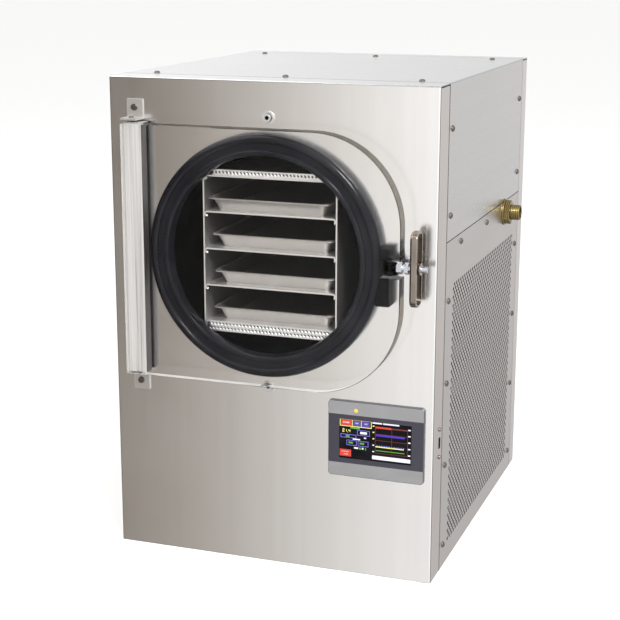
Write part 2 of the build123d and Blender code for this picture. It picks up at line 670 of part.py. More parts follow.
def hinge_bracket(leaf_z, plate_low, plate_high, screw_z):
    """L bracket: a plate on the panel and a leaf that carries the pin."""
    x_low, x_high = HINGE_X - 10.5, HINGE_X + 11.5
    box((x_low, FRONT_Y - LEAF_T, plate_low), (x_high, FRONT_Y, plate_high))
    box((x_low, FRONT_Y - LEAF_OUT, leaf_z), (x_high, FRONT_Y, leaf_z + LEAF_T))
    with BuildSketch(at_z(leaf_z)) as outline:
        with Locations((HINGE_X, PIN_Y)):
            Circle(HINGE_PIN_R)
    extrude(outline.sketch, amount=LEAF_T, mode=Mode.SUBTRACT)
    with BuildSketch(at_y(FRONT_Y - LEAF_T)) as outline:
        with Locations((HINGE_X, screw_z)):
            Circle(SCREW_R)
    extrude(outline.sketch, amount=-LEAF_T, mode=Mode.SUBTRACT)


TOP_LEAF_Z = DOOR_TOP + LEAF_GAP
LOW_LEAF_Z = DOOR_LOW - LEAF_GAP - LEAF_T
TOP_HINGE_SCREW, LOW_HINGE_SCREW = 598.0, 234.0
with BuildPart() as hinge_brackets:
    hinge_bracket(TOP_LEAF_Z, TOP_LEAF_Z, 608.5, TOP_HINGE_SCREW)
    hinge_bracket(LOW_LEAF_Z, 222.0, LOW_LEAF_Z + LEAF_T, LOW_HINGE_SCREW)

with BuildPart() as hinge_pins:
    # headed pins pushed through the leaves into the bushings
    for z_head, z_from, z_to in (
        (TOP_LEAF_Z + LEAF_T, BUSH_Z[1] + 0.5, TOP_LEAF_Z + LEAF_T),
        (LOW_LEAF_Z - 1.6, LOW_LEAF_Z, BUSH_Z[0] + BUSH_L - 0.5),
    ):
        with BuildSketch(at_z(z_from)):
            with Locations((HINGE_X, PIN_Y)):
                Circle(HINGE_PIN_R)
        extrude(amount=z_to - z_from)
        with BuildSketch(at_z(z_head)):
            with Locations((HINGE_X, PIN_Y)):
                Circle(3.0)
        extrude(amount=1.6)

with BuildPart() as hinge_screws:
    for z in (TOP_HINGE_SCREW, LOW_HINGE_SCREW):
        with BuildSketch(at_y(FRONT_Y - LEAF_T)):
            with Locations((HINGE_X, z)):
                Circle(4.6)
        extrude(amount=2.6, taper=15)
        with BuildSketch(at_y(FRONT_Y - LEAF_T)):
            with Locations((HINGE_X, z)):
                Circle(SCREW_R)
        extrude(amount=-LEAF_T)

# ---- latch ---------------------------------------------------------------------------------------
LATCH_Y = FRONT_Y - LATCH_OUT
BLOCK_FRONT = DOOR_BACK + 0.7
with BuildPart() as latch_block:
    with BuildSketch(at_y(FRONT_Y)):
        with Locations(((LATCH_X - 16 + LATCH_X + 1.0) / 2, CH_Z - 13.0)):
            Rectangle(17.0, 73.0)
        with Locations((CH_X, CH_Z)):
            Circle(SEAL_R + 0.4, mode=Mode.SUBTRACT)
    extrude(amount=FRONT_Y - BLOCK_FRONT)
    # tapered root of the clevis behind the door
    with BuildSketch(at_y(FRONT_Y)):
        with BuildLine():
            Polyline(
                (LATCH_X, CH_Z - 14),
                (LATCH_X + 9.5, CH_Z - EAR_H),
                (LATCH_X + 9.5, CH_Z + EAR_H),
                (LATCH_X, CH_Z + 14),
                close=True,
            )
        make_face()
    extrude(amount=FRONT_Y - BLOCK_FRONT)
    # clevis ears that reach into the door's notch
    with BuildSketch(at_z(CH_Z - EAR_H)):
        with Locations((LATCH_X, LATCH_Y)):
            Circle(EAR_R)
        with Locations((LATCH_X, LATCH_Y + 4.0)):
            Rectangle(2 * EAR_R, 8.0)
    extrude(amount=2 * EAR_H)
    # slot for the eye bolt, open in front and to the right
    box(
        (LATCH_X - EAR_R - 0.5, LATCH_Y - 9, CH_Z - BOLT_R - 0.4),
        (LATCH_X + 12, LATCH_Y + BOLT_R + 3.4, CH_Z + BOLT_R + 0.4),
        Mode.SUBTRACT,
    )
    with BuildSketch(at_z(CH_Z - 20)):
        with Locations((LATCH_X, LATCH_Y)):
            Circle(LATCH_PIN_R)
    extrude(amount=40, mode=Mode.SUBTRACT)

with BuildPart() as latch_pin:
    with BuildSketch(at_z(CH_Z - EAR_H - 0.3)):
        with Locations((LATCH_X, LATCH_Y)):
            Circle(LATCH_PIN_R)
    extrude(amount=2 * EAR_H + 0.6)

with BuildPart() as latch_bolt:
    with BuildSketch(at_z(CH_Z - BOLT_R)):
        with Locations((LATCH_X, LATCH_Y)):
            Circle(5.4)
    extrude(amount=2 * BOLT_R)
    with BuildSketch(at_x(LATCH_X + 3.0)):
        with Locations((LATCH_Y, CH_Z)):
            Circle(BOLT_R)
    extrude(amount=BOLT_L - 3.0)
    with BuildSketch(at_z(CH_Z - BOLT_R)):
        with Locations((LATCH_X, LATCH_Y)):
            Circle(LATCH_PIN_R + PIN_FIT)
    extrude(amount=2 * BOLT_R, mode=Mode.SUBTRACT)

with BuildPart() as latch_nuts:
    for start, thick in ((10.3, 6.5), (20.0, 5.0)):
        with BuildSketch(at_x(LATCH_X + start)):
            with Locations((LATCH_Y, CH_Z)):
                RegularPolygon(7.5, 6, rotation=90)
                Circle(BOLT_R, mode=Mode.SUBTRACT)
        extrude(amount=thick)

with BuildPart() as latch_handle:
    # a dished grip: rounded inside, a rim and a hub outside
    with BuildSketch(at_x(LATCH_X + HANDLE_AT)):
        with Locations((LATCH_Y, CH_Z)):
            RectangleRounded(HANDLE_W, HANDLE_H, HANDLE_CORNER)
    extrude(amount=HANDLE_T)
    fillet(latch_handle.faces().sort_by(Axis.X)[0].outer_wire().edges(), 2.5)
    with BuildSketch(at_x(LATCH_X + HANDLE_AT + HANDLE_T)):
        with Locations((LATCH_Y, CH_Z)):
            RectangleRounded(
                HANDLE_W - 2 * HANDLE_RIM, HANDLE_H - 2 * HANDLE_RIM, HANDLE_CORNER - HANDLE_RIM
            )
    extrude(amount=-HANDLE_DISH, mode=Mode.SUBTRACT)
    fillet(latch_handle.faces().sort_by(Axis.X)[-1].outer_wire().edges(), 1.0)
    with BuildSketch(at_x(LATCH_X + HANDLE_AT + HANDLE_T - HANDLE_DISH)):
        with Locations((LATCH_Y, CH_Z)):
            Circle(HUB_R)
    extrude(amount=HANDLE_DISH + HUB_OUT)
    fillet(latch_handle.faces().sort_by(Axis.X)[-1].edges(), 0.8)
    with BuildSketch(at_x(LATCH_X + HANDLE_AT)):
        with Locations((LATCH_Y, CH_Z)):
            Circle(BOLT_R + PIN_FIT)
    extrude(amount=HANDLE_T + HUB_OUT, mode=Mode.SUBTRACT)

# ---- display and side socket ---------------------------------------------------------------------
BEZEL_MID = ((BEZEL_L + BEZEL_R) / 2, (BEZEL_LOW + BEZEL_TOP) / 2)
SCREEN_MID = ((SCREEN_L + SCREEN_R) / 2, (SCREEN_LOW + SCREEN_TOP) / 2)
SCREEN_SIZE = (SCREEN_R - SCREEN_L, SCREEN_TOP - SCREEN_LOW)
with BuildPart() as display_bezel:
    with BuildSketch(at_y(FRONT_Y)):
        with Locations(BEZEL_MID):
            RectangleRounded(BEZEL_R - BEZEL_L, BEZEL_TOP - BEZEL_LOW, 4)
    extrude(amount=BEZEL_T)
    fillet(display_bezel.faces().sort_by(Axis.Y)[0].edges(), 1.0)
    with BuildSketch(at_y(FRONT_Y)):
        with Locations(SCREEN_MID):
            Rectangle(*SCREEN_SIZE)
        with Locations((LED_X, LED_Z)):
            Circle(LED_R)
    extrude(amount=BEZEL_T, mode=Mode.SUBTRACT)
    # rear skirt that locates the bezel in the panel's cut-out
    with BuildSketch(at_y(FRONT_Y)):
        with Locations(BEZEL_MID):
            RectangleRounded(BEZEL_R - BEZEL_L - 12.4, BEZEL_TOP - BEZEL_LOW - 12.4, 2.8)
            Rectangle(BEZEL_R - BEZEL_L - 16.4, BEZEL_TOP - BEZEL_LOW - 16.4, mode=Mode.SUBTRACT)
    extrude(amount=-8.0)

with BuildPart() as touch_screen:
    with BuildSketch(at_y(FRONT_Y)):
        with Locations(SCREEN_MID):
            Rectangle(*SCREEN_SIZE)
    extrude(amount=BEZEL_T - 0.8)
    with BuildSketch(at_y(FRONT_Y)):
        with Locations(SCREEN_MID):
            Rectangle(SCREEN_SIZE[0] + 6, SCREEN_SIZE[1] + 6)
    extrude(amount=-5.0)

with BuildPart() as status_led:
    with BuildSketch(at_y(FRONT_Y + 8.0)):
        with Locations((LED_X, LED_Z)):
            Circle(LED_R)
    extrude(amount=8.0 + BEZEL_T)

with BuildPart() as control_board:
    box(
        (BEZEL_MID[0] - 54, FRONT_Y + 8.0, BEZEL_MID[1] - 44),
        (BEZEL_MID[0] + 54, FRONT_Y + 9.6, BEZEL_MID[1] + 44),
    )
    box(
        (BEZEL_MID[0] - 30, FRONT_Y + 9.6, BEZEL_MID[1] - 20),
        (BEZEL_MID[0] + 10, FRONT_Y + 22.0, BEZEL_MID[1] + 16),
    )

with BuildPart() as usb_port:
    with BuildSketch(at_x(SIDE_X - SHEET)):
        with Locations((USB_Y, USB_Z)):
            Rectangle(11, 46)
    extrude(amount=-2.0)
    with BuildSketch(at_x(SIDE_X - SHEET)):
        with Locations((USB_Y, USB_Z)):
            RectangleRounded(6.3, 14.3, 1)
    extrude(amount=SHEET + 0.4)
    with BuildSketch(at_x(SIDE_X + 0.4)):
        with Locations((USB_Y, USB_Z)):
            Rectangle(4.5, 12.0)
    extrude(amount=-9.0, mode=Mode.SUBTRACT)
    with BuildSketch(at_x(SIDE_X - SHEET - 2.0)):
        with Locations((USB_Y, USB_Z)):
            Rectangle(7.5, 15.0)
            Rectangle(4.5, 12.0, mode=Mode.SUBTRACT)
    extrude(amount=-12.0)
    with BuildSketch(at_x(SIDE_X - SHEET - 14.0)):
        with Locations((USB_Y, USB_Z)):
            Rectangle(7.5, 15.0)
    extrude(amount=-1.5)
    with BuildSketch(at_x(SIDE_X)):
        with Locations(*[(USB_Y, z) for z in USB_SCREW_ZS]):
            Circle(1.5)
    extrude(amount=-5.0, mode=Mode.SUBTRACT)

with BuildPart() as usb_screws:
    spots = [(USB_Y, z) for z in USB_SCREW_ZS]
    with BuildSketch(at_x(SIDE_X - 4.0)):
        with Locations(*spots):
            Circle(1.5)
    extrude(amount=4.0)
    with BuildSketch(at_x(SIDE_X)):
        with Locations(*spots):
            Circle(2.8)
    extrude(amount=1.6, taper=15)

# ---- cooling plant -------------------------------------------------------------------------------
FLOOR_IN = FRAME_T  # inside floor of the base pan
with BuildPart() as compressor_mounts:
    with BuildSketch(at_z(FLOOR_IN)):
        with Locations((COMP_X, COMP_Y)):
            with GridLocations(150, 110, 2, 2):
                Circle(11)
    extrude(amount=14)

with BuildPart() as compressor:
    with BuildSketch(at_z(FLOOR_IN + 14)):
        with Locations((COMP_X, COMP_Y)):
            RectangleRounded(176, 136, 16)
    extrude(amount=3.0)
    with BuildSketch(Plane.XZ.offset(-COMP_Y)):
        with BuildLine():
            low = FLOOR_IN + 17
            top = low + COMP_H - 17
            Polyline(
                (COMP_X, low),
                (COMP_X + COMP_R - 6, low),
                (COMP_X + COMP_R, low + 8),
                (COMP_X + COMP_R, top - 50),
                (COMP_X + COMP_R - 8, top - 28),
                (COMP_X + COMP_R - 28, top - 8),
                (COMP_X + COMP_R - 48, top),
                (COMP_X, top),
                close=True,
            )
        make_face()
    revolve(axis=Axis((COMP_X, COMP_Y, 0), (0, 0, 1)), revolution_arc=360)
    box(
        (COMP_X - 26, COMP_Y + COMP_R - 6, 80),
        (COMP_X + 26, COMP_Y + COMP_R + 24, 140),
    )

COND_X = (160.0, 204.0)
COND_Y = (-150.0, 150.0)
COND_Z = (FLOOR_IN, 240.0)
with BuildPart() as condenser_coil:
    box((COND_X[0], COND_Y[0], COND_Z[0]), (COND_X[1], COND_Y[1], COND_Z[1]))
    for x in (171.0, 193.0):
        for z in (45.0, 105.0, 165.0):
            for y, way in ((COND_Y[0], -1), (COND_Y[1], 1)):
                with BuildSketch(at_y(y)):
                    with Locations((x, z), (x, z + 25)):
                        Circle(3.5)
                extrude(amount=-way * 12)
                low_y, high_y = sorted((y + way * 12, y + way * 5))
                box((x - 3.0, low_y, z - 0.5), (x + 3.0, high_y, z + 25.5))

SHROUD_X = (152.0, 160.0)
with BuildPart() as fan_shroud:
    with BuildSketch(at_x(SHROUD_X[0])):
        with Locations((0, (COND_Z[0] + COND_Z[1]) / 2)):
            Rectangle(COND_Y[1] - COND_Y[0], COND_Z[1] - COND_Z[0])
        with Locations((0, FAN_Z)):
            Circle(FAN_R + 5, mode=Mode.SUBTRACT)
    extrude(amount=SHROUD_X[1] - SHROUD_X[0])
    with BuildSketch(at_x(SHROUD_X[0])):
        with Locations((0, FAN_Z)):
            Circle(FAN_R + 7)
            Circle(FAN_R + 5, mode=Mode.SUBTRACT)
    extrude(amount=-36.0)
    # motor spider
    for angle in (45, 135, 225, 315):
        with BuildSketch(at_x(110.0)):
            with Locations((0, FAN_Z)):
                with PolarLocations(66.0, 1, start_angle=angle):
                    Rectangle(84.0, 8.0)
        extrude(amount=6.0)

MOTOR_R = 26.0
with BuildPart() as fan_motor:
    with BuildSketch(at_x(60.0)):
        with Locations((0, FAN_Z)):
            Circle(MOTOR_R)
    extrude(amount=50.0)
    fillet(fan_motor.faces().sort_by(Axis.X)[0].edges(), 5)
    with BuildSketch(at_x(110.0)):
        with Locations((0, FAN_Z)):
            Circle(MOTOR_R)
    extrude(amount=6.0)
    with BuildSketch(at_x(116.0)):
        with Locations((0, FAN_Z)):
            Circle(FAN_SHAFT_R)
    extrude(amount=FAN_X + 10.0 - 116.0)
    add(fan_shroud.part, mode=Mode.SUBTRACT)

with BuildPart() as condenser_fan:
    with BuildSketch(at_x(FAN_X - 11.0)):
        with Locations((0, FAN_Z)):
            Circle(24.0)
            Circle(FAN_SHAFT_R + PIN_FIT, mode=Mode.SUBTRACT)
    extrude(amount=22.0)
    # pitched blades, each extruded outwards from the hub
    for i in range(FAN_BLADES):
        turn = Location((FAN_X, 0, FAN_Z)) * Location((0, 0, 0), (1, 0, 0), 360 / FAN_BLADES * i)
        pitch = Location((0, 0, 0), (0, 0, 1), 32.0)
        with BuildSketch(Plane(turn * Location((0, 0, 22.0)) * pitch)):
            Rectangle(1.8, 52.0)
        extrude(amount=FAN_R - 30.0)

with BuildPart() as drain_tube:
    with BuildLine() as route:
        FilletPolyline(
            (CH_X, DRAIN_Y, CH_Z - CH_OUT_R + 1.0),
            (CH_X, DRAIN_Y, 225.0),
            (-190.0, DRAIN_Y, 225.0),
            (-190.0, DRAIN_Y, DRAIN_Z),
            (-INNER_X, DRAIN_Y, DRAIN_Z),
            radius=18.0,
        )
    with BuildSketch(Plane(route.wires()[0] @ 0, z_dir=route.wires()[0] % 0)):
        Circle(6.5)
        Circle(5.0, mode=Mode.SUBTRACT)
    sweep(path=route.wires()[0])
    add(chamber.part, mode=Mode.SUBTRACT)

with BuildPart() as filter_drier:
    with BuildSketch(Plane.XZ.offset(-(COMP_Y + 130))):
        with BuildLine():
            Polyline(
                (20, 40), (24, 40), (24, 50), (34, 62), (34, 132), (24, 144), (24, 156), (20, 156), close=True
            )
        make_face()
    revolve(axis=Axis((20, COMP_Y + 130, 0), (0, 0, 1)), revolution_arc=360)
    box((16, COMP_Y + 126, FLOOR_IN), (24, COMP_Y + 134, 41))

with BuildPart() as power_supply:
    box((-60, 185, FLOOR_IN), (60, 225, 150))
    fillet(power_supply.edges().filter_by(Axis.Z), 3)

with BuildPart() as power_inlet:
    with BuildSketch(at_y(BACK_Y)):
        with Locations((INLET_X, POWER_Z)):
            RectangleRounded(48, 24 + 14, 4)
    extrude(amount=-2.5)
    with BuildSketch(at_y(BACK_Y)):
        with Locations((INLET_X, POWER_Z)):
            Rectangle(28, 34)
    extrude(amount=22.0)
    with BuildSketch(at_y(BACK_Y + 2.5)) as inlet_mouth:
        with Locations((INLET_X, POWER_Z)):
            Rectangle(24, 17)
        chamfer(inlet_mouth.vertices().group_by(Axis.Z)[-1], 4)
    extrude(amount=16.0, mode=Mode.SUBTRACT)
    with BuildSketch(at_y(BACK_Y - 13.6)):
        with Locations((INLET_X - 7, POWER_Z - 1), (INLET_X + 7, POWER_Z - 1), (INLET_X, POWER_Z + 3)):
            Rectangle(2, 4)
    extrude(amount=-11.0)

with BuildPart() as pump_socket:
    with BuildSketch(at_y(BACK_Y)):
        with Locations((SOCKET_X, POWER_Z)):
            RectangleRounded(38, 38, 4)
    extrude(amount=-2.5)
    with BuildSketch(at_y(BACK_Y)):
        with Locations((SOCKET_X, POWER_Z)):
            Rectangle(28, 34)
    extrude(amount=22.0)
    with BuildSketch(at_y(BACK_Y + 2.5)):
        with Locations((SOCKET_X - 7, POWER_Z - 1), (SOCKET_X + 7, POWER_Z - 1), (SOCKET_X, POWER_Z + 4)):
            Rectangle(2.4, 5)
    extrude(amount=14.0, mode=Mode.SUBTRACT)

with BuildPart() as power_switch:
    with BuildSketch(at_y(BACK_Y)):
        with Locations((SWITCH_X, POWER_Z)):
            RectangleRounded(16.6, 22.6, 1)
            Rectangle(11.6, 17.6, mode=Mode.SUBTRACT)
    extrude(amount=-2.0)
    with BuildSketch(at_y(BACK_Y)):
        with Locations((SWITCH_X, POWER_Z)):
            Rectangle(13.6, 19.6)
            Rectangle(11.6, 17.6, mode=Mode.SUBTRACT)
    extrude(amount=14.0)
    with BuildSketch(at_y(BACK_Y - 14.0)):
        with Locations((SWITCH_X, POWER_Z)):
            Rectangle(13.6, 19.6)
    extrude(amount=4.0)
    # trunnions that carry the rocker
    for side in (-1, 1):
        x = SWITCH_X + side * 5.8
        with BuildSketch(at_x(x)):
            with Locations((BACK_Y - 4.0, POWER_Z)):
                Circle(1.4)
        extrude(amount=-side * 1.5)

ROCK = math.radians(-11.0)  # the rocker rests pressed one way
with BuildPart() as switch_rocker:
    pivot = (SWITCH_X - 5.4, BACK_Y - 4.0, POWER_Z)
    with BuildSketch(Plane(pivot, x_dir=(0, math.cos(ROCK), math.sin(ROCK)), z_dir=(1, 0, 0))):
        with BuildLine():
            Polyline(
                (-3.0, -4.0),
                (-3.0, 4.0),
                (2.5, 7.2),
                (6.0, 7.2),
                (4.2, 0.0),
                (6.0, -7.2),
                (2.5, -7.2),
                close=True,
            )
        make_face()
        Circle(1.45, mode=Mode.SUBTRACT)
    extrude(amount=10.8)

# ---- drain valve ---------------------------------------------------------------------------------
with BuildPart() as drain_valve:
    with BuildSketch(Plane.XY.offset(DRAIN_Z)):
        with BuildLine():
            Polyline(
                (-INNER_X, DRAIN_Y + 5.0),
                (-INNER_X, DRAIN_Y + 7.0),
                (-SIDE_X, DRAIN_Y + 7.0),
                (-SIDE_X, DRAIN_Y + 11.0),
                (-SIDE_X - 4.0, DRAIN_Y + 11.0),
                (-SIDE_X - 4.0, DRAIN_Y + 8.0),
                (-SIDE_X - 8.0, DRAIN_Y + 8.0),
                (-SIDE_X - 11.0, DRAIN_Y + 10.5),
                (-SIDE_X - 23.0, DRAIN_Y + 10.5),
                (-SIDE_X - 26.0, DRAIN_Y + 8.0),
                (-SIDE_X - 29.0, DRAIN_Y + 6.2),
                (-SIDE_X - 44.0, DRAIN_Y + 6.2),
                (-SIDE_X - 44.0, DRAIN_Y + 4.0),
                (-SIDE_X - 10.0, DRAIN_Y + 4.0),
                (-SIDE_X - 10.0, DRAIN_Y + 5.0),
                close=True,
            )
        make_face()
    revolve(axis=Axis((0, DRAIN_Y, DRAIN_Z), (1, 0, 0)), revolution_arc=360)
    # stem boss and stem
    with BuildSketch(at_z(DRAIN_Z + 6.0)):
        with Locations((-SIDE_X - 17.0, DRAIN_Y)):
            Circle(5.5)
    extrude(amount=8.0)
    with BuildSketch(at_z(DRAIN_Z + 14.0)):
        with Locations((-SIDE_X - 17.0, DRAIN_Y)):
            Circle(2.5)
    extrude(amount=5.5)

with BuildPart() as drain_lever:
    stem = (-SIDE_X - 17.0, DRAIN_Y)
    with BuildSketch(at_z(DRAIN_Z + 14.4)):
        with Locations((stem[0], stem[1] - 20.0)):
            SlotOverall(56.0, 10.0, rotation=90)
        with Locations(stem):
            Circle(2.55, mode=Mode.SUBTRACT)
    extrude(amount=3.0)

# ---- export --------------------------------------------------------------------------------------
nodes = {
    "base_pan": base_pan,
    "front_panel": front_panel,
    "rear_panel": rear_panel,
    "top_cover": top_cover,
    "side_panel_right": side_panel_right,
    "side_panel_left": side_panel_left,
    "inner_frame": inner_frame,
    "panel_screws": panel_screws,
    "chamber": chamber,
    "cooling_coil": cooling_coil,
    "chamber_insulation": chamber_insulation,
    "chamber_cradle": chamber_cradle,
    "door_gasket": door_gasket,
    "front_bolts": front_bolts,
    "flange_nuts": flange_nuts,
    "vacuum_pipe": vacuum_pipe,
    "vacuum_fitting": vacuum_fitting,
    "rack_sides": rack_sides,
    "rack_shelves": rack_shelves,
    "rack_cap": rack_cap,
    "rack_shields": rack_shields,
    "shelf_heaters": shelf_heaters,
    "rack_glides": rack_glides,
    "door_plate": door_plate,
    "hinge_bar": hinge_bar,
    "hinge_bushings": hinge_bushings,
    "hinge_brackets": hinge_brackets,
    "hinge_pins": hinge_pins,
    "hinge_screws": hinge_screws,
    "latch_block": latch_block,
    "latch_pin": latch_pin,
    "latch_bolt": latch_bolt,
    "latch_nuts": latch_nuts,
    "latch_handle": latch_handle,
    "display_bezel": display_bezel,
    "touch_screen": touch_screen,
    "status_led": status_led,
    "control_board": control_board,
    "usb_port": usb_port,
    "usb_screws": usb_screws,
    "compressor_mounts": compressor_mounts,
    "compressor": compressor,
    "condenser_coil": condenser_coil,
    "fan_shroud": fan_shroud,
    "fan_motor": fan_motor,
    "condenser_fan": condenser_fan,
    "drain_tube": drain_tube,
    "filter_drier": filter_drier,
    "power_supply": power_supply,
    "power_inlet": power_inlet,
    "pump_socket": pump_socket,
    "power_switch": power_switch,
    "switch_rocker": switch_rocker,
    "drain_valve": drain_valve,
    "drain_lever": drain_lever,
}
for i, tray in enumerate(tray_parts, start=1):
    nodes[f"tray_{i}"] = tray

os.makedirs("parts", exist_ok=True)
for name, piece in nodes.items():
    piece.part.label = name
    export_step(piece.part, f"parts/{name}.step")
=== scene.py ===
import logging
import math
from dataclasses import dataclass, field
from enum import Enum
from typing import Callable, Iterable, Sequence

import bpy
from mathutils import Euler, Matrix, Vector


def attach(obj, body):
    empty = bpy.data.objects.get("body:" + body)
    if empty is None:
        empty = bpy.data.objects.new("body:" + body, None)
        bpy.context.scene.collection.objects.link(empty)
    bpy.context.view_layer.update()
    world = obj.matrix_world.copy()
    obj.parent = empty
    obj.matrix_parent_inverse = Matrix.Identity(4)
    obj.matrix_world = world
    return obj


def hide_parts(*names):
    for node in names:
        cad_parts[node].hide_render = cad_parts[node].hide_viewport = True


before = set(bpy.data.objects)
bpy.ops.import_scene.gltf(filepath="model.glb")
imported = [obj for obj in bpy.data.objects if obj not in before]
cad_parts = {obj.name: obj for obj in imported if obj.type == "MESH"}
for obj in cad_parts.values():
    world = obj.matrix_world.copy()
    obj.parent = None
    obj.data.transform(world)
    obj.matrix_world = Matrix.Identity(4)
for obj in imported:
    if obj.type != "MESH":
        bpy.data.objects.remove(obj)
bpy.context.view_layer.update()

log = logging.getLogger("freeze_dryer")
MM = 0.001
Rgb = tuple[float, float, float]
Point = tuple[float, float, float]
Strip = tuple[float, float, float, float]
Material = bpy.types.Material
NodeTree = bpy.types.NodeTree
Piece = bpy.types.Object
Socket = bpy.types.NodeSocket

# where the cabinet's outer skin starts, in metres: from the middle across and along, and from the floor up
SKIN_X, SKIN_Y, SKIN_Z = 0.2198, 0.2538, 0.6345


class Grain(Enum):
    """Which way a sheet was brushed, as how often its lines repeat per metre along X, Y and Z."""

    ACROSS = (9.0, 1500.0, 1500.0)
    BACKWARDS = (1500.0, 9.0, 1500.0)
    UPRIGHT = (900.0, 900.0, 7.0)


class Axis(Enum):
    """An axis that a piece is turned about: its way, and how a flat circle is turned to look along it."""

    Y = ((0, 1, 0), (-math.pi / 2, 0.0, 0.0))
    Z = ((0, 0, 1), (0.0, 0.0, 0.0))


def toned(tint: Rgb, share: float) -> Rgb:
    """A colour made darker or lighter by a share."""
    return tuple(c * share for c in tint)


# ---------------------------------------------------------------- node helpers
class Nodes:
    """Adds and joins nodes in one node tree."""

    def __init__(self, tree: NodeTree) -> None:
        """Takes the tree to work in."""
        self.tree = tree

    def add(self, kind: str, **settings: object) -> bpy.types.Node:
        """Adds a node.

        Args:
            kind: the node's type name without its ShaderNode prefix.
            settings: properties of the node.

        Returns:
            The new node.
        """
        node = self.tree.nodes.new("ShaderNode" + kind)
        for name, value in settings.items():
            setattr(node, name, value)
        return node

    def join(self, source: Socket, target: Socket) -> None:
        """Links an output to an input."""
        self.tree.links.new(source, target)

    def put(self, value: float | Rgb | Socket, target: Socket) -> None:
        """Links an output to an input, or sets the input to a number or a colour.

        Args:
            value: output, number or colour.
            target: the input.
        """
        if isinstance(value, Socket):
            self.join(value, target)
        else:
            target.default_value = (*value, 1.0) if isinstance(value, tuple) else value

    def maths(self, operation: str, *values: float | Socket) -> Socket:
        """A Math node.

        Args:
            operation: the operation's name.
            values: its values, each a number or an output.

        Returns:
            The result's socket.
        """
        node = self.add("Math", operation=operation)
        for value, target in zip(values, node.inputs):
            self.put(value, target)
        return node.outputs[0]

    def blend(self, mask: float | Socket, low: Rgb | Socket, high: Rgb | Socket) -> Socket:
        """A colour mix.

        Args:
            mask: 0 gives the low colour and 1 the high one.
            low: colour or output.
            high: colour or output.

        Returns:
            The mixed colour's socket.
        """
        node = self.add("Mix", data_type="RGBA")
        for i, value in ((0, mask), (6, low), (7, high)):
            self.put(value, node.inputs[i])
        return node.outputs[2]

    def spread(self, value: Socket, low: float, high: float, to_low: float, to_high: float) -> Socket:
        """Maps a range of values to another one, with soft ends.

        Args:
            value: the socket to map.
            low: start of its range.
            high: end of its range.
            to_low: result at the start.
            to_high: result at the end.

        Returns:
            The mapped value's socket.
        """
        node = self.add("MapRange", interpolation_type="SMOOTHSTEP")
        ends = {"Value": value, "From Min": low, "From Max": high, "To Min": to_low, "To Max": to_high}
        for name, end in ends.items():
            self.put(end, node.inputs[name])
        return node.outputs["Result"]

    def noise(self, place: Socket, scale: float | Socket, detail: float, roughness: float = 0.5) -> Socket:
        """Cloudy noise from 0 to 1.

        Args:
            place: the coordinates.
            scale: how fine it is.
            detail: how many finer layers it has.
            roughness: how strong they are.

        Returns:
            The noise's socket.
        """
        node = self.add("TexNoise")
        values = {"Vector": place, "Scale": scale, "Detail": detail, "Roughness": roughness}
        for name, value in values.items():
            self.put(value, node.inputs[name])
        return node.outputs["Fac"]

    def axes(self, vector: Socket) -> bpy.types.NodeOutputs:
        """Takes a vector apart.

        Args:
            vector: the vector's socket.

        Returns:
            Its outputs X, Y and Z, by name.
        """
        node = self.add("SeparateXYZ")
        self.join(vector, node.inputs[0])
        return node.outputs


def effect(
    name: str, inputs: dict[str, object], outputs: Sequence[str],
) -> tuple[Nodes, bpy.types.Node, bpy.types.Node]:
    """Starts a shader node group with named sockets.

    Args:
        name: the group's name.
        inputs: input names with their default values; a 3-tuple makes a vector input.
        outputs: names of the values that the group puts out.

    Returns:
        The group's node helper, its input node and its output node.
    """
    tree = bpy.data.node_groups.new(name, "ShaderNodeTree")
    for label, value in inputs.items():
        kind = "NodeSocketVector" if isinstance(value, tuple) else "NodeSocketFloat"
        socket = tree.interface.new_socket(label, in_out="INPUT", socket_type=kind)
        socket.default_value = value
    for label in outputs:
        tree.interface.new_socket(label, in_out="OUTPUT", socket_type="NodeSocketFloat")
    nodes = Nodes(tree)
    return nodes, tree.nodes.new("NodeGroupInput"), tree.nodes.new("NodeGroupOutput")


def brush_lines() -> NodeTree:
    """Builds the brushed-sheet effect: long fine lines, and broad soft bands of the same run.

    Returns:
        The node group.
    """
    inputs = {"Vector": (0.0, 0.0, 0.0), "Repeats": (7.0, 900.0, 900.0)}
    nodes, given, out = effect("brush lines", inputs, ("Line", "Band"))
    stretch = nodes.add("VectorMath", operation="MULTIPLY")
    nodes.join(given.outputs["Vector"], stretch.inputs[0])
    nodes.join(given.outputs["Repeats"], stretch.inputs[1])
    nodes.join(nodes.noise(stretch.outputs[0], 1.0, 3.0, 0.7), out.inputs["Line"])
    nodes.join(nodes.noise(stretch.outputs[0], 0.09, 2.0), out.inputs["Band"])
    return nodes.tree


def hand_marks() -> NodeTree:
    """Builds the handling effect: faint cloudy patches and small specks.

    Returns:
        The node group.
    """
    nodes, given, out = effect("hand marks", {"Vector": (0.0, 0.0, 0.0), "Size": 9.0}, ("Patch", "Speck"))
    place, size = given.outputs["Vector"], given.outputs["Size"]
    nodes.join(nodes.spread(nodes.noise(place, size, 4.0), 0.35, 0.7, 0.0, 1.0), out.inputs["Patch"])
    speck = nodes.noise(place, nodes.maths("MULTIPLY", size, 45.0), 2.0)
    nodes.join(nodes.spread(speck, 0.62, 0.75, 0.0, 1.0), out.inputs["Speck"])
    return nodes.tree


def moulded_grain() -> NodeTree:
    """Builds the moulded-surface effect: a fine even grain.

    Returns:
        The node group.
    """
    nodes, given, out = effect("moulded grain", {"Vector": (0.0, 0.0, 0.0), "Fineness": 900.0}, ("Height",))
    nodes.join(nodes.noise(given.outputs["Vector"], given.outputs["Fineness"], 1.0), out.inputs["Height"])
    return nodes.tree


BRUSH_LINES = brush_lines()
HAND_MARKS = hand_marks()
MOULDED_GRAIN = moulded_grain()


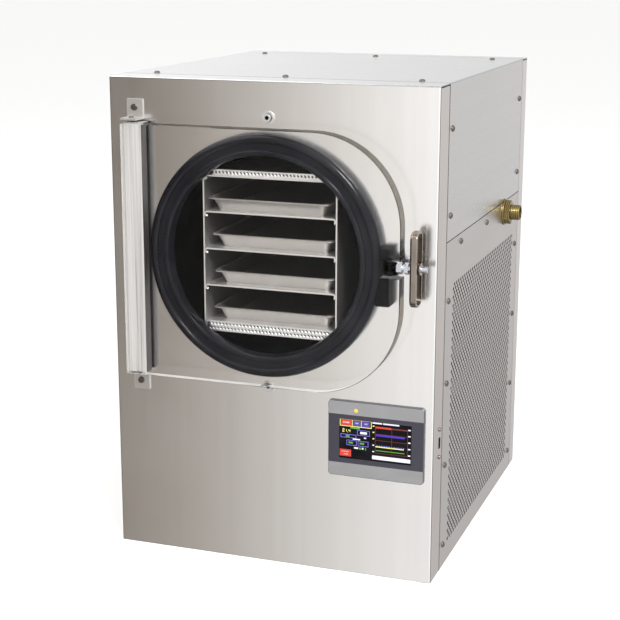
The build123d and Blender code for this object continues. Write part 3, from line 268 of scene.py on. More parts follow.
# ---------------------------------------------------------------- finishes
class Coat:
    """A material being built: its nodes, its surface shader and the object coordinates."""

    def __init__(self, name: str) -> None:
        """Makes the material with a plain surface shader.

        Args:
            name: the material's name.
        """
        self.material = bpy.data.materials.new(name)
        self.material.use_nodes = True
        self.nodes = Nodes(self.material.node_tree)
        self.surface = self.material.node_tree.nodes["Principled BSDF"]
        self.end = self.material.node_tree.nodes["Material Output"]
        self.place = self.nodes.add("TexCoord").outputs["Object"]

    def fixed(self, **values: float) -> None:
        """Sets numbers on the surface shader, with underscores for spaces."""
        for name, value in values.items():
            self.surface.inputs[name.replace("_", " ")].default_value = value

    def feed(self, name: str, socket: Socket) -> None:
        """Joins a socket to one of the surface shader's inputs."""
        self.nodes.join(socket, self.surface.inputs[name])

    def use(self, group: NodeTree, **values: object) -> bpy.types.NodeOutputs:
        """Places an effect on the object coordinates.

        Args:
            group: the effect's node group.
            values: its inputs, by name.

        Returns:
            The effect's outputs, by name.
        """
        node = self.nodes.add("Group", node_tree=group)
        self.nodes.join(self.place, node.inputs["Vector"])
        for name, value in values.items():
            node.inputs[name].default_value = value
        return node.outputs

    def skin(self) -> tuple[Socket, Socket, Socket]:
        """Tells the cabinet's outer skin from its inner side, and its sides and top from the rest.

        Returns:
            A mask that is 1 on the outer skin, one for the left and right sides, and one for the top.
        """
        nodes = self.nodes
        at = nodes.axes(self.place)
        shaded_sides = nodes.spread(nodes.maths("ABSOLUTE", at["X"]), SKIN_X, SKIN_X + 0.0001, 0.0, 1.0)
        before = nodes.spread(nodes.maths("ABSOLUTE", at["Y"]), SKIN_Y, SKIN_Y + 0.0002, 0.0, 1.0)
        above = nodes.spread(at["Z"], SKIN_Z, SKIN_Z + 0.001, 0.0, 1.0)
        return nodes.maths("MAXIMUM", nodes.maths("MAXIMUM", shaded_sides, before), above), shaded_sides, above

    def bump(self, height: Socket, depth_mm: float) -> None:
        """Raises the surface by a height.

        Args:
            height: the height's socket, 0 to 1.
            depth_mm: how high 1 stands.
        """
        node = self.nodes.add("Bump")
        node.inputs["Strength"].default_value = 1.0
        node.inputs["Distance"].default_value = depth_mm * MM
        self.nodes.join(height, node.inputs["Height"])
        self.feed("Normal", node.outputs["Normal"])


@dataclass(frozen=True)
class BrushedSteel:
    """Brushed sheet or strip."""

    name: str
    tint: Rgb = (0.80, 0.79, 0.785)
    roughness: float = 0.22
    grain: Grain = Grain.ACROSS
    line_depth_mm: float = 0.004
    contrast: float = 0.05
    # painted shade: the tone for the sheet's sides and the tone above, for its top, stand for how the light
    # falls on those faces
    shaded_sides: Rgb | None = None
    above: Rgb = (0.48, 0.48, 0.49)
    # painted shade: the shadow colour covers the sheet's inner side, and beyond seam_y it is a painted shadow
    # in the seam's gap
    shadow: Rgb = (0.02, 0.02, 0.02)
    seam_y: float = 1.0

    def material(self) -> Material:
        """Builds the material: line-by-line tone and roughness, faint handling patches, fine grooves.

        A cabinet sheet also has painted shade: darker, warmer tones on its sides and a darker one on its top,
        for how the light falls there, painted shade on its inner side and a painted shadow in its seam.

        Returns:
            The material.
        """
        coat = Coat(self.name)
        nodes = coat.nodes
        lines = coat.use(BRUSH_LINES, Repeats=self.grain.value)
        marks = coat.use(HAND_MARKS, Size=6.0)
        tone = nodes.spread(lines["Line"], 0.3, 0.7, 1.0 - self.contrast, 1.0)
        shade = nodes.maths("MULTIPLY", tone, nodes.spread(lines["Band"], 0.3, 0.7, 0.95, 1.0))
        colour = nodes.blend(shade, toned(self.tint, 0.55), self.tint)
        if self.shaded_sides:
            skin, side, top = coat.skin()
            seam = nodes.spread(nodes.axes(coat.place)["Y"], self.seam_y, self.seam_y + 0.0001, 1.0, 0.0)
            # painted shade on the sides, then on the top
            colour = nodes.blend(side, colour, nodes.blend(shade, toned(self.shaded_sides, 0.55), self.shaded_sides))
            colour = nodes.blend(top, colour, self.above)
            # painted shade on the inner side and a painted shadow in the seam
            colour = nodes.blend(nodes.maths("MULTIPLY", skin, seam), self.shadow, colour)
        coat.feed("Base Color", colour)
        low, high = self.roughness - self.contrast, self.roughness + self.contrast
        rough = nodes.spread(lines["Line"], 0.2, 0.8, low, high)
        coat.feed("Roughness", nodes.maths("MULTIPLY_ADD", marks["Patch"], 0.03, rough))
        coat.fixed(Metallic=1.0)
        coat.bump(lines["Line"], self.line_depth_mm)
        return coat.material


@dataclass(frozen=True)
class BareMetal:
    """Turned, plated, drawn or polished metal without a brushed run."""

    name: str
    tint: Rgb = (0.6, 0.6, 0.6)
    roughness: float = 0.3
    worn: float = 0.25
    grain_mm: float = 0.01
    thread_mm: float = 0.0
    black_axis: str = ""
    black_span: tuple[float, float] = (0.0, 0.0)

    def material(self) -> Material:
        """Builds the material: uneven tone, duller patches and specks, and a slight grain.

        If asked, it also has dark stripes of painted shade for the grooves of a thread along X, and a stretch
        of one axis is black.

        Returns:
            The material.
        """
        coat = Coat(self.name)
        nodes = coat.nodes
        marks = coat.use(HAND_MARKS, Size=40.0)
        grain = coat.use(MOULDED_GRAIN, Fineness=1500.0)
        at = nodes.axes(coat.place)
        colour = nodes.blend(marks["Patch"], self.tint, toned(self.tint, 1.0 - self.worn))
        # painted shade: dark stripes for the grooves of a thread
        if self.thread_mm:
            run = 2.0 * math.pi / (self.thread_mm * MM)
            turn = nodes.maths("SINE", nodes.maths("MULTIPLY", at["X"], run))
            colour = nodes.blend(nodes.spread(turn, -0.5, 0.6, 0.0, 1.0), toned(self.tint, 0.3), colour)
        if self.black_axis:
            start, end = self.black_span
            inside = nodes.maths("COMPARE", at[self.black_axis], (start + end) / 2, (end - start) / 2)
            colour = nodes.blend(inside, colour, (0.01, 0.01, 0.01))
        coat.feed("Base Color", colour)
        rough = nodes.maths("MULTIPLY_ADD", marks["Patch"], 0.12, self.roughness)
        coat.feed("Roughness", nodes.maths("MULTIPLY_ADD", marks["Speck"], 0.1, rough))
        coat.fixed(Metallic=1.0)
        coat.bump(grain["Height"], self.grain_mm)
        return coat.material


@dataclass(frozen=True)
class Moulded:
    """Moulded plastic, rubber, paint or foam."""

    name: str
    tint: Rgb = (0.02, 0.02, 0.02)
    roughness: float = 0.45
    fineness: float = 900.0
    grain_mm: float = 0.05
    shine: float = 0.5

    def material(self) -> Material:
        """Builds the material: slightly uneven colour, moulded grain, dull handling patches.

        Returns:
            The material.
        """
        coat = Coat(self.name)
        nodes = coat.nodes
        marks = coat.use(HAND_MARKS, Size=25.0)
        grain = coat.use(MOULDED_GRAIN, Fineness=self.fineness)
        light = tuple(min(1.0, c * 1.25 + 0.004) for c in self.tint)
        coat.feed("Base Color", nodes.blend(marks["Patch"], self.tint, light))
        rough = nodes.spread(marks["Patch"], 0.0, 1.0, self.roughness, self.roughness + 0.1)
        coat.feed("Roughness", rough)
        coat.fixed(Specular_IOR_Level=self.shine)
        coat.bump(grain["Height"], self.grain_mm)
        return coat.material


@dataclass(frozen=True)
class ClearAcrylic:
    """Clear cast plate; light passes through it to what it shades."""

    name: str
    tint: Rgb = (0.998, 0.998, 0.996)
    hazed: Rgb = (0.99, 0.99, 0.988)
    face: Rgb = (0.985, 0.985, 0.98)
    rim: Rgb = (0.93, 0.92, 0.905)
    rim_clear: float = 0.8
    rim_roughness: float = 0.3

    def material(self) -> Material:
        """Builds the material: polished and clear, faintly hazed in patches, matt round its rim.

        It casts almost no shadow.

        Returns:
            The material.
        """
        coat = Coat(self.name)
        nodes = coat.nodes
        marks = coat.use(HAND_MARKS, Size=14.0)
        coat.feed("Base Color", nodes.blend(marks["Patch"], self.tint, self.hazed))
        coat.fixed(IOR=1.49, Transmission_Weight=1.0, Specular_Tint=(0.12, 0.12, 0.12, 1.0))
        normal = nodes.axes(nodes.add("NewGeometry").outputs["Normal"])
        edge = nodes.spread(nodes.maths("ABSOLUTE", normal["Y"]), 0.4, 0.6, 1.0, 0.0)
        coat.feed("Roughness", nodes.maths("MULTIPLY", edge, self.rim_roughness))
        rays = nodes.add("LightPath")
        clear = nodes.add("BsdfTransparent")
        nodes.join(nodes.blend(edge, self.face, self.rim), clear.inputs["Color"])
        mix = nodes.add("MixShader")
        seen = nodes.maths("MAXIMUM", rays.outputs["Is Camera Ray"], rays.outputs["Is Transmission Ray"])
        unseen = nodes.maths("SUBTRACT", 1.0, seen)
        through = nodes.maths("MAXIMUM", unseen, nodes.maths("MULTIPLY", edge, self.rim_clear))
        nodes.join(through, mix.inputs[0])
        nodes.join(coat.surface.outputs[0], mix.inputs[1])
        nodes.join(clear.outputs[0], mix.inputs[2])
        nodes.join(mix.outputs[0], coat.end.inputs["Surface"])
        return coat.material


@dataclass(frozen=True)
class FrostedAcrylic:
    """Frosted bar with long saw marks."""

    name: str
    tint: Rgb = (0.44, 0.435, 0.43)
    streak: Rgb = (0.27, 0.26, 0.25)
    # painted shade: the dark colour covers the bar's back, which faces the panel, and its inner side
    dark: Rgb = (0.02, 0.017, 0.015)
    back_y: float = -0.2590
    side_x: float = -0.1632

    def material(self) -> Material:
        """Builds the material: milky, partly clear, with upright streaks, and painted shade on its back and
        its inner side.

        Returns:
            The material.
        """
        coat = Coat(self.name)
        nodes = coat.nodes
        lines = coat.use(BRUSH_LINES, Repeats=(300.0, 300.0, 3.0))
        at = nodes.axes(coat.place)
        before = nodes.spread(at["Y"], self.back_y - 0.0005, self.back_y, 1.0, 0.0)
        outward = nodes.spread(at["X"], self.side_x - 0.0002, self.side_x, 1.0, 0.0)
        milky = nodes.blend(nodes.spread(lines["Line"], 0.3, 0.7, 0.0, 1.0), self.streak, self.tint)
        # painted shade behind and on the inner side
        coat.feed("Base Color", nodes.blend(nodes.maths("MULTIPLY", before, outward), self.dark, milky))
        coat.feed("Roughness", nodes.spread(lines["Line"], 0.3, 0.7, 0.25, 0.45))
        coat.fixed(IOR=1.49, Transmission_Weight=0.15)
        coat.bump(lines["Line"], 0.06)
        return coat.material


@dataclass(frozen=True)
class Foil:
    """Bright foil embossed with a fine quilt."""

    name: str
    tint: Rgb = (0.97, 0.97, 0.96)
    # painted shade in the creases of the quilt
    hollow_shade: Rgb = (0.16, 0.15, 0.17)
    pitch_mm: float = 4.8

    def material(self) -> Material:
        """Builds the material: bright cushions with painted shade in the creases between them, slightly
        crushed.

        Returns:
            The material.
        """
        coat = Coat(self.name)
        nodes = coat.nodes
        crush = coat.use(HAND_MARKS, Size=60.0)
        at = nodes.axes(coat.place)
        run = 2.0 * math.pi / (self.pitch_mm * MM)
        slope = nodes.maths("ADD", at["X"], nodes.maths("MULTIPLY", at["Z"], 0.4))
        across = nodes.maths("SINE", nodes.maths("MULTIPLY", slope, run))
        along = nodes.maths("SINE", nodes.maths("MULTIPLY", at["Z"], 0.8 * run))
        quilt = nodes.spread(nodes.maths("ADD", across, along), -1.7, -0.1, 0.0, 1.0)
        worn = nodes.maths("MULTIPLY", quilt, nodes.spread(crush["Patch"], 0.0, 1.0, 1.0, 0.8))
        coat.feed("Base Color", nodes.blend(worn, self.hollow_shade, self.tint))
        coat.fixed(Metallic=1.0, Roughness=0.35)
        coat.bump(quilt, 0.5)
        return coat.material


@dataclass(frozen=True)
class LitField:
    """A lit patch of the display: a steady colour with fine dots."""

    name: str
    tint: Rgb

    def material(self) -> Material:
        """Builds the material: glowing dots under a clear glossy top.

        Returns:
            The material.
        """
        coat = Coat(self.name)
        nodes = coat.nodes
        dots = nodes.add("TexVoronoi", feature="F1", distance="CHEBYCHEV")
        dots.inputs["Scale"].default_value = 2800.0
        dots.inputs["Randomness"].default_value = 0.0
        nodes.join(coat.place, dots.inputs["Vector"])
        share = nodes.spread(dots.outputs["Distance"], 0.35, 0.5, 1.0, 0.85)
        for name, tint in (("Emission Color", self.tint), ("Base Color", toned(self.tint, 0.2))):
            coat.feed(name, nodes.blend(share, (0.0, 0.0, 0.0), tint))
        coat.fixed(Emission_Strength=1.0, Roughness=0.25)
        return coat.material


@dataclass(frozen=True)
class BandedBezel:
    """Grey bezel whose middle band is dark, printed by height."""

    name: str
    low_z: float = 0.1520
    high_z: float = 0.2172
    rim_x: tuple[float, float] = (0.0823, 0.2082)
    rim_z: tuple[float, float] = (0.1348, 0.2342)
    outer: Rgb = (0.17, 0.17, 0.174)
    inner: Rgb = (0.024, 0.022, 0.034)
    # painted shade: the rim colour darkens the bezel's edges
    rim: Rgb = (0.045, 0.043, 0.05)
    blur: float = 0.0002

    def material(self) -> Material:
        """Builds the material: the dark band between two heights, and painted shade round its rim, over
        moulded grain.

        Returns:
            The material.
        """
        coat = Coat(self.name)
        nodes = coat.nodes
        at = nodes.axes(coat.place)
        above = nodes.spread(at["Z"], self.low_z - self.blur, self.low_z + self.blur, 0.0, 1.0)
        below = nodes.spread(at["Z"], self.high_z - self.blur, self.high_z + self.blur, 1.0, 0.0)
        marks = coat.use(HAND_MARKS, Size=30.0)
        worn = nodes.blend(marks["Patch"], self.outer, toned(self.outer, 1.1))
        banded = nodes.blend(nodes.maths("MULTIPLY", above, below), worn, self.inner)
        # painted shade outside the rim's bounds
        inside = 1.0
        for axis, (low, high) in (("X", self.rim_x), ("Z", self.rim_z)):
            inside = nodes.maths("MULTIPLY", inside, nodes.spread(at[axis], low - self.blur, low, 0.0, 1.0))
            inside = nodes.maths("MULTIPLY", inside, nodes.spread(at[axis], high, high + self.blur, 1.0, 0.0))
        coat.feed("Base Color", nodes.blend(inside, self.rim, banded))
        grain = coat.use(MOULDED_GRAIN, Fineness=1200.0)
        coat.fixed(Roughness=0.38)
        coat.bump(grain["Height"], 0.03)
        return coat.material


class Finishes:
    """Builds each finish once and hands it out by name."""

    def __init__(self, kinds: Iterable[object]) -> None:
        """Takes the finishes, each with a name and a material method."""
        self.made = {kind.name: kind.material() for kind in kinds}

    def __getitem__(self, name: str) -> Material:
        """The material with that name."""
        return self.made[name]

    def dress(self, finish: str, *nodes: str) -> None:
        """Gives CAD nodes a finish.

        Args:
            finish: the finish's name.
            nodes: the CAD nodes.
        """
        for name in nodes:
            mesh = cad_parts[name].data
            mesh.materials.clear()
            mesh.materials.append(self.made[finish])


# ---------------------------------------------------------------- shaping by hand
class Shaping:
    """Mesh work in edit mode, one piece at a time."""

    @staticmethod
    def clear() -> None:
        """Deselects every object."""
        if bpy.context.object and bpy.context.object.mode != "OBJECT":
            bpy.ops.object.mode_set(mode="OBJECT")
        bpy.ops.object.select_all(action="DESELECT")

    @staticmethod
    def take(piece: Piece) -> None:
        """Selects one piece and makes it the active one.

        Args:
            piece: the piece.
        """
        Shaping.clear()
        bpy.context.view_layer.objects.active = piece
        piece.select_set(True)

    @staticmethod
    def name(name: str) -> Piece:
        """Names the new object and its mesh.

        Args:
            name: their name.

        Returns:
            The object.
        """
        piece = bpy.context.object
        piece.name = name
        piece.data.name = name
        return piece

    @staticmethod
    def edit(piece: Piece, mode: str = "EDGE") -> None:
        """Opens a piece in edit mode with everything selected.

        Args:
            piece: the piece.
            mode: VERT, EDGE or FACE.
        """
        Shaping.take(piece)
        bpy.ops.object.mode_set(mode="EDIT")
        bpy.ops.mesh.select_mode(type=mode)
        bpy.ops.mesh.select_all(action="SELECT")

    @staticmethod
    def pick_faces(piece: Piece, test: Callable[[Vector], bool]) -> None:
        """Opens a piece in edit mode with the faces selected whose middle passes a test.

        Args:
            piece: the piece.
            test: says whether a place is wanted.
        """
        Shaping.edit(piece, "FACE")
        bpy.ops.mesh.select_all(action="DESELECT")
        bpy.ops.object.mode_set(mode="OBJECT")
        for face in piece.data.polygons:
            face.select = test(face.center)
        bpy.ops.object.mode_set(mode="EDIT")

    @staticmethod
    def modify(piece: Piece, kind: str, **settings: object) -> None:
        """Adds a modifier and applies it.

        Args:
            piece: the piece, in object mode.
            kind: the modifier's type.
            settings: its properties.
        """
        Shaping.take(piece)
        modifier = piece.modifiers.new(kind.title(), kind)
        for name, value in settings.items():
            setattr(modifier, name, value)
        bpy.ops.object.modifier_apply(modifier=modifier.name)

    @staticmethod
    def place(piece: Piece) -> None:
        """Moves a piece's place, turn and size into its mesh."""
        Shaping.take(piece)
        bpy.ops.object.transform_apply(location=True, rotation=True, scale=True)

    @staticmethod
    def join(pieces: Sequence[Piece], name: str) -> Piece:
        """Joins pieces into one.

        Args:
            pieces: what to join.
            name: the joined piece's name.

        Returns:
            The joined piece.
        """
        Shaping.clear()
        for piece in pieces:
            piece.select_set(True)
        bpy.context.view_layer.objects.active = pieces[0]
        bpy.ops.object.join()
        return Shaping.name(name)

    @staticmethod
    def turned(
        name: str, axis: Axis, middle: Point, profile: Sequence[tuple[float, float]], sides: int,
        closed: bool = False,
    ) -> Piece:
        """Turns a piece on the lathe: a ring drawn out step by step.

        Args:
            name: the piece's name.
            axis: the axis.
            middle: a point on the axis, where the distances start, in metres.
            profile: distance along the axis and radius of each ring, in millimetres.
            sides: faces round the piece.
            closed: whether the last ring meets the first one; otherwise both ends are filled.

        Returns:
            The piece, with its place in its mesh.
        """
        way, turn = Vector(axis.value[0]), axis.value[1]
        Shaping.clear()
        start, radius = profile[0]
        bpy.ops.mesh.primitive_circle_add(
            vertices=sides, radius=radius * MM, fill_type="NOTHING" if closed else "NGON",
            location=Vector(middle) + way * start * MM, rotation=turn,
        )
        piece = Shaping.name(name)
        Shaping.place(piece)
        Shaping.edit(piece)
        for (a, r), (b, s) in zip(profile, profile[1:]):
            bpy.ops.mesh.extrude_region_move(TRANSFORM_OT_translate={"value": way * (b - a) * MM})
            centre = Vector(middle) + way * b * MM
            bpy.ops.transform.resize(value=(s / r, s / r, s / r), center_override=centre)
        if closed:
            bpy.ops.mesh.select_all(action="DESELECT")
            bpy.ops.mesh.select_non_manifold()
            bpy.ops.mesh.bridge_edge_loops()
        bpy.ops.mesh.select_all(action="SELECT")
        bpy.ops.mesh.remove_doubles(threshold=0.000001)
        bpy.ops.mesh.normals_make_consistent(inside=False)
        bpy.ops.object.mode_set(mode="OBJECT")
        return piece

    @staticmethod
    def block(name: str, low: Point, high: Point) -> Piece:
        """A block between two corners.

        Args:
            name: the piece's name.
            low: lowest corner, in millimetres.
            high: highest corner, in millimetres.

        Returns:
            The piece, with its place in its mesh.
        """
        Shaping.clear()
        a, b = (Vector([c * MM for c in corner]) for corner in (low, high))
        bpy.ops.mesh.primitive_cube_add(size=1.0, location=(a + b) / 2, scale=b - a)
        piece = Shaping.name(name)
        Shaping.place(piece)
        return piece

    @staticmethod
    def copies(piece: Piece, name: str, spots: Sequence[tuple[Point, Point]]) -> Piece:
        """Copies a piece that stands at the origin and looks up, and joins the copies.

        Args:
            piece: the piece, which goes.
            name: the joined piece's name.
            spots: where each copy stands, in millimetres, and the way it looks.

        Returns:
            The joined copies.
        """
        made = []
        for place, way in spots:
            copy = piece.copy()
            copy.data = piece.data.copy()
            bpy.context.collection.objects.link(copy)
            turn = Vector(way).to_track_quat("Z", "Y").to_matrix().to_4x4()
            copy.data.transform(Matrix.Translation(Vector(place) * MM) @ turn)
            made.append(copy)
        bpy.data.objects.remove(piece)
        return Shaping.join(made, name)

    @staticmethod
    def soften(piece: Piece, degrees: float) -> None:
        """Shades a piece smooth up to an angle."""
        Shaping.take(piece)
        bpy.ops.object.shade_smooth_by_angle(angle=math.radians(degrees))

    @staticmethod
    def finish(piece: Piece, slot: str, material: Material, replaces: str = "") -> None:
        """Gives a piece its material, lets it ride on the cabinet, and reports it.

        Args:
            piece: the piece.
            slot: the record's material slot; not used.
            material: its finish.
            replaces: the CAD node it stands for.
        """
        piece.data.materials.clear()
        piece.data.materials.append(material)
        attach(piece, "cabinet")
        if replaces:
            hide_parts(replaces)
        log.info("%s: %d faces", piece.name, len(piece.data.polygons))


# ---------------------------------------------------------------- the dryer
@dataclass
class Perforation:
    """Field of round holes in the right lower panel, staggered by half a step both ways; in millimetres."""

    step_y: float = 10.9
    step_z: float = 11.05
    hole_r: float = 2.7
    hole_sides: int = 12
    first_y: float = -169.0
    first_z: float = 28.8
    across: int = 33
    up: int = 32
    merge: float = 0.05

    def reach(self) -> tuple[float, float, float, float]:
        """Where the field starts and ends along Y, then along Z."""
        y, z = self.first_y - self.step_y / 4, self.first_z - self.step_z / 4
        return y, y + self.across * self.step_y, z, z + self.up * self.step_z

    def square(self, at: Point, holed: bool) -> Piece:
        """One square of the chequered field, in the plane of the panel.

        Args:
            at: its middle, in metres.
            holed: whether it has a round hole.

        Returns:
            The square.
        """
        Shaping.clear()
        turn = (math.pi / 2, 0.0, math.pi / 2)
        rim_r = self.step_y / 4 * math.sqrt(2) * MM
        fill = "NOTHING" if holed else "NGON"
        bpy.ops.mesh.primitive_circle_add(
            vertices=4, radius=rim_r, fill_type=fill, location=at, rotation=turn,
        )
        square = Shaping.name("square")
        Shaping.place(square)
        Shaping.edit(square)
        bpy.ops.transform.rotate(value=math.pi / 4, orient_axis="X", center_override=at)
        bpy.ops.transform.resize(value=(1.0, 1.0, self.step_z / self.step_y), center_override=at)
        bpy.ops.object.mode_set(mode="OBJECT")
        if holed:
            bpy.ops.mesh.primitive_circle_add(
                vertices=self.hole_sides, radius=self.hole_r * MM, fill_type="NOTHING",
                location=at, rotation=turn,
            )
            hole = bpy.context.object
            Shaping.place(hole)
            square = Shaping.join([square, hole], "square")
            Shaping.edit(square)
            bpy.ops.mesh.bridge_edge_loops()
            bpy.ops.object.mode_set(mode="OBJECT")
        return square

    def field(self, x: float) -> Piece:
        """The whole field as one flat sheet.

        Args:
            x: the plane's place, in millimetres.

        Returns:
            The sheet.
        """
        squares = []
        for i in (0, 1):
            for j in (0, 1):
                y, z = self.first_y + i * self.step_y / 2, self.first_z + j * self.step_z / 2
                squares.append(self.square((x * MM, y * MM, z * MM), i == j))
        sheet = Shaping.join(squares, "field")
        for count, step in ((self.across, (0.0, self.step_y, 0.0)), (self.up, (0.0, 0.0, self.step_z))):
            Shaping.modify(
                sheet, "ARRAY", count=count, use_relative_offset=False, use_constant_offset=True,
                constant_offset_displace=Vector(step) * MM, use_merge_vertices=True,
                merge_threshold=self.merge * MM,
            )
        return sheet


@dataclass
class Screw:
    """A pan-head panel screw with a round recess; distances in millimetres."""

    radius: float = 4.2
    height: float = 2.3
    rim: float = 0.55
    recess: float = 1.1

    def head(self) -> Piece:
        """One head at the origin that looks up.

        Returns:
            The head.
        """
        r, h = self.radius, self.height
        profile = ((-0.2, r), (0.35, r), (0.8, r * 0.93), (1.5, r * 0.8), (h - 0.1, r * 0.6), (h, r * 0.5))
        head = Shaping.turned("screw_head", Axis.Z, (0, 0, 0), profile, sides=24)
        Shaping.pick_faces(head, lambda place: place.z > (h - 0.05) * MM and place.xy.length < 0.2 * MM)
        bpy.ops.mesh.inset(thickness=self.rim * MM, depth=0.0)
        bpy.ops.mesh.extrude_region_move(TRANSFORM_OT_translate={"value": (0, 0, -self.recess * MM)})
        bpy.ops.object.mode_set(mode="OBJECT")
        Shaping.soften(head, 30)
        return head


@dataclass
class Cabinet:
    """Sheet-metal cabinet: panels, screws and the perforated side; distances in millimetres."""

    finishes: Finishes
    side_x: float = 220.0
    side_sheet: float = 0.5
    panel_y: tuple[float, float] = (-209.3, 222.3)
    panel_top: float = 438.3
    top_z: float = 637.0
    back_y: float = 254.5
    column_y: tuple[float, float] = (-193.5, 206.5)
    rows: tuple[float, ...] = (580.0, 471.0, 361.0, 252.0, 141.0, 30.0)
    rail_spots: tuple[tuple[float, float], ...] = ((-134.9, 428.0), (13.3, 427.0))
    top_x: tuple[float, ...] = (-180.0, 0.0, 180.0)
    top_y: tuple[float, ...] = (-194.5, 194.5)
    rear_x: tuple[float, ...] = (-210.0, 210.0)
    rear_z: tuple[float, ...] = (42.0, 234.0, 426.0, 618.0)
    holes: Perforation = field(default_factory=Perforation)

    def build(self) -> None:
        """Dresses the panels, and makes the perforated side and the screws."""
        self.finishes.dress("front sheet", "front_panel")
        self.finishes.dress("top sheet", "top_cover")
        self.finishes.dress("rear sheet", "rear_panel")
        self.finishes.dress("plated sheet", "base_pan", "inner_frame")
        self.finishes.dress("side sheet", "side_panel_left")
        self.perforated_side()
        self.screws()

    def perforated_side(self) -> None:
        """The right lower side panel: a field of holes with a plain margin all round."""
        outer = self.side_x
        sheet = self.holes.field(outer)
        Shaping.edit(sheet)
        bpy.ops.mesh.remove_doubles(threshold=0.00003)
        bpy.ops.mesh.normals_make_consistent(inside=False)
        sheet.update_from_editmode()
        if sheet.data.polygons[0].normal.x < 0:
            bpy.ops.mesh.flip_normals()
        bpy.ops.object.mode_set(mode="OBJECT")
        Shaping.modify(sheet, "SOLIDIFY", thickness=self.side_sheet * MM, offset=-1.0)
        inner = outer - self.side_sheet
        (low, high), (a, b, c, d), top = self.panel_y, self.holes.reach(), self.panel_top
        strips = ((low, a, 0.0, top), (b, high, 0.0, top), (a, b, 0.0, c), (a, b, d, top))
        margins = [
            Shaping.block("margin", (inner, y, z), (outer, y_end, z_end)) for y, y_end, z, z_end in strips
        ]
        sheet = Shaping.join([sheet, *margins], "perforated_side_right")
        Shaping.finish(sheet, "cabinet_steel", self.finishes["lower side sheet"], "side_panel_right")

    def screws(self) -> None:
        """Every panel screw, with its recess."""
        lower = [(y, z) for z in self.rows for y in self.column_y] + list(self.rail_spots)
        spots = [((x, y, self.top_z), (0, 0, 1)) for x in self.top_x for y in self.top_y]
        spots += [((way * self.side_x, y, z), (way, 0, 0)) for way in (-1, 1) for y, z in lower]
        spots += [((x, self.back_y, z), (0, 1, 0)) for x in self.rear_x for z in self.rear_z]
        heads = Shaping.copies(Screw().head(), "panel_screw_heads", spots)
        Shaping.finish(heads, "screw_steel", self.finishes["plated screw"], "panel_screws")


@dataclass
class Chamber:
    """Drum, seal and what stands round the mouth; distances in millimetres."""

    finishes: Finishes
    middle: Point = (-0.5, -254.5, 417.5)
    drum_r: float = 140.0
    seal_out: float = 19.45

    def build(self) -> None:
        """Dresses the drum and its fittings, and makes the seal."""
        # painted shade: the drum and its pipes are near-black for the unlit inside of the chamber
        self.finishes.dress("drawn drum", "chamber", "vacuum_pipe", "drain_tube")
        self.finishes.dress("seal rubber", "rack_glides", "compressor_mounts")
        self.finishes.dress("plated screw", "flange_nuts", "usb_screws")
        self.finishes.dress("flange bolt", "front_bolts")
        self.seal()
        self.finishes.dress("bare copper", "cooling_coil", "filter_drier")
        self.finishes.dress("jacket foam", "chamber_insulation")
        self.finishes.dress("plated sheet", "chamber_cradle")
        self.finishes.dress("bare brass", "vacuum_fitting", "drain_valve")

    def seal(self) -> None:
        """The rubber ring: crown, face groove with rounded rims, lip and tapered mouth."""
        r, out = self.drum_r, self.seal_out
        crown = [
            (0.0, r + 16.0), (-11.8, r + 16.0), (-14.5, r + 15.5), (-16.9, r + 13.9), (-18.6, r + 11.5),
            (-out, r + 8.6), (-out, r + 7.4),
        ]
        groove = [
            (0.3 - out, r + 6.1), (1.0 - out, r + 5.0), (2.1 - out, r + 4.3), (4.0 - out, r + 3.9),
            (4.0 - out, r - 3.6), (2.5 - out, r - 4.0), (1.5 - out, r - 4.8), (1.0 - out, r - 5.8),
        ]
        mouth = [
            (0.8 - out, r - 7.2), (0.8 - out, r - 9.9), (1.1 - out, r - 10.6), (1.8 - out, r - 11.0),
            (-3.2, r - 12.7), (-3.2, r - 0.3),
        ]
        sleeve = [(-12.2, r - 0.3), (-12.2, r + 2.3), (0.0, r + 2.3)]
        profile = crown + groove + mouth + sleeve
        seal = Shaping.turned("seal_ring", Axis.Y, Vector(self.middle) * MM, profile, sides=128, closed=True)
        Shaping.soften(seal, 40)
        Shaping.finish(seal, "seal_rubber", self.finishes["seal rubber"], "door_gasket")


@dataclass
class Door:
    """Clear door with its hinge."""

    finishes: Finishes

    def build(self) -> None:
        """Dresses the plate, the bar and the hinge."""
        self.finishes.dress("clear plate", "door_plate")
        self.finishes.dress("frosted bar", "hinge_bar")
        self.finishes.dress("bushing brass", "hinge_bushings")
        self.finishes.dress("hinge strip", "hinge_brackets")
        self.finishes.dress("plated screw", "hinge_pins", "hinge_screws")


@dataclass
class Latch:
    """Swing-bolt latch with its dished handle."""

    finishes: Finishes

    def build(self) -> None:
        """Dresses the clevis, the bolt and the handle."""
        self.finishes.dress("black moulding", "latch_block")
        self.finishes.dress("swing bolt", "latch_bolt", "latch_pin")
        self.finishes.dress("bright zinc", "latch_nuts")
        self.finishes.dress("polished handle", "latch_handle")


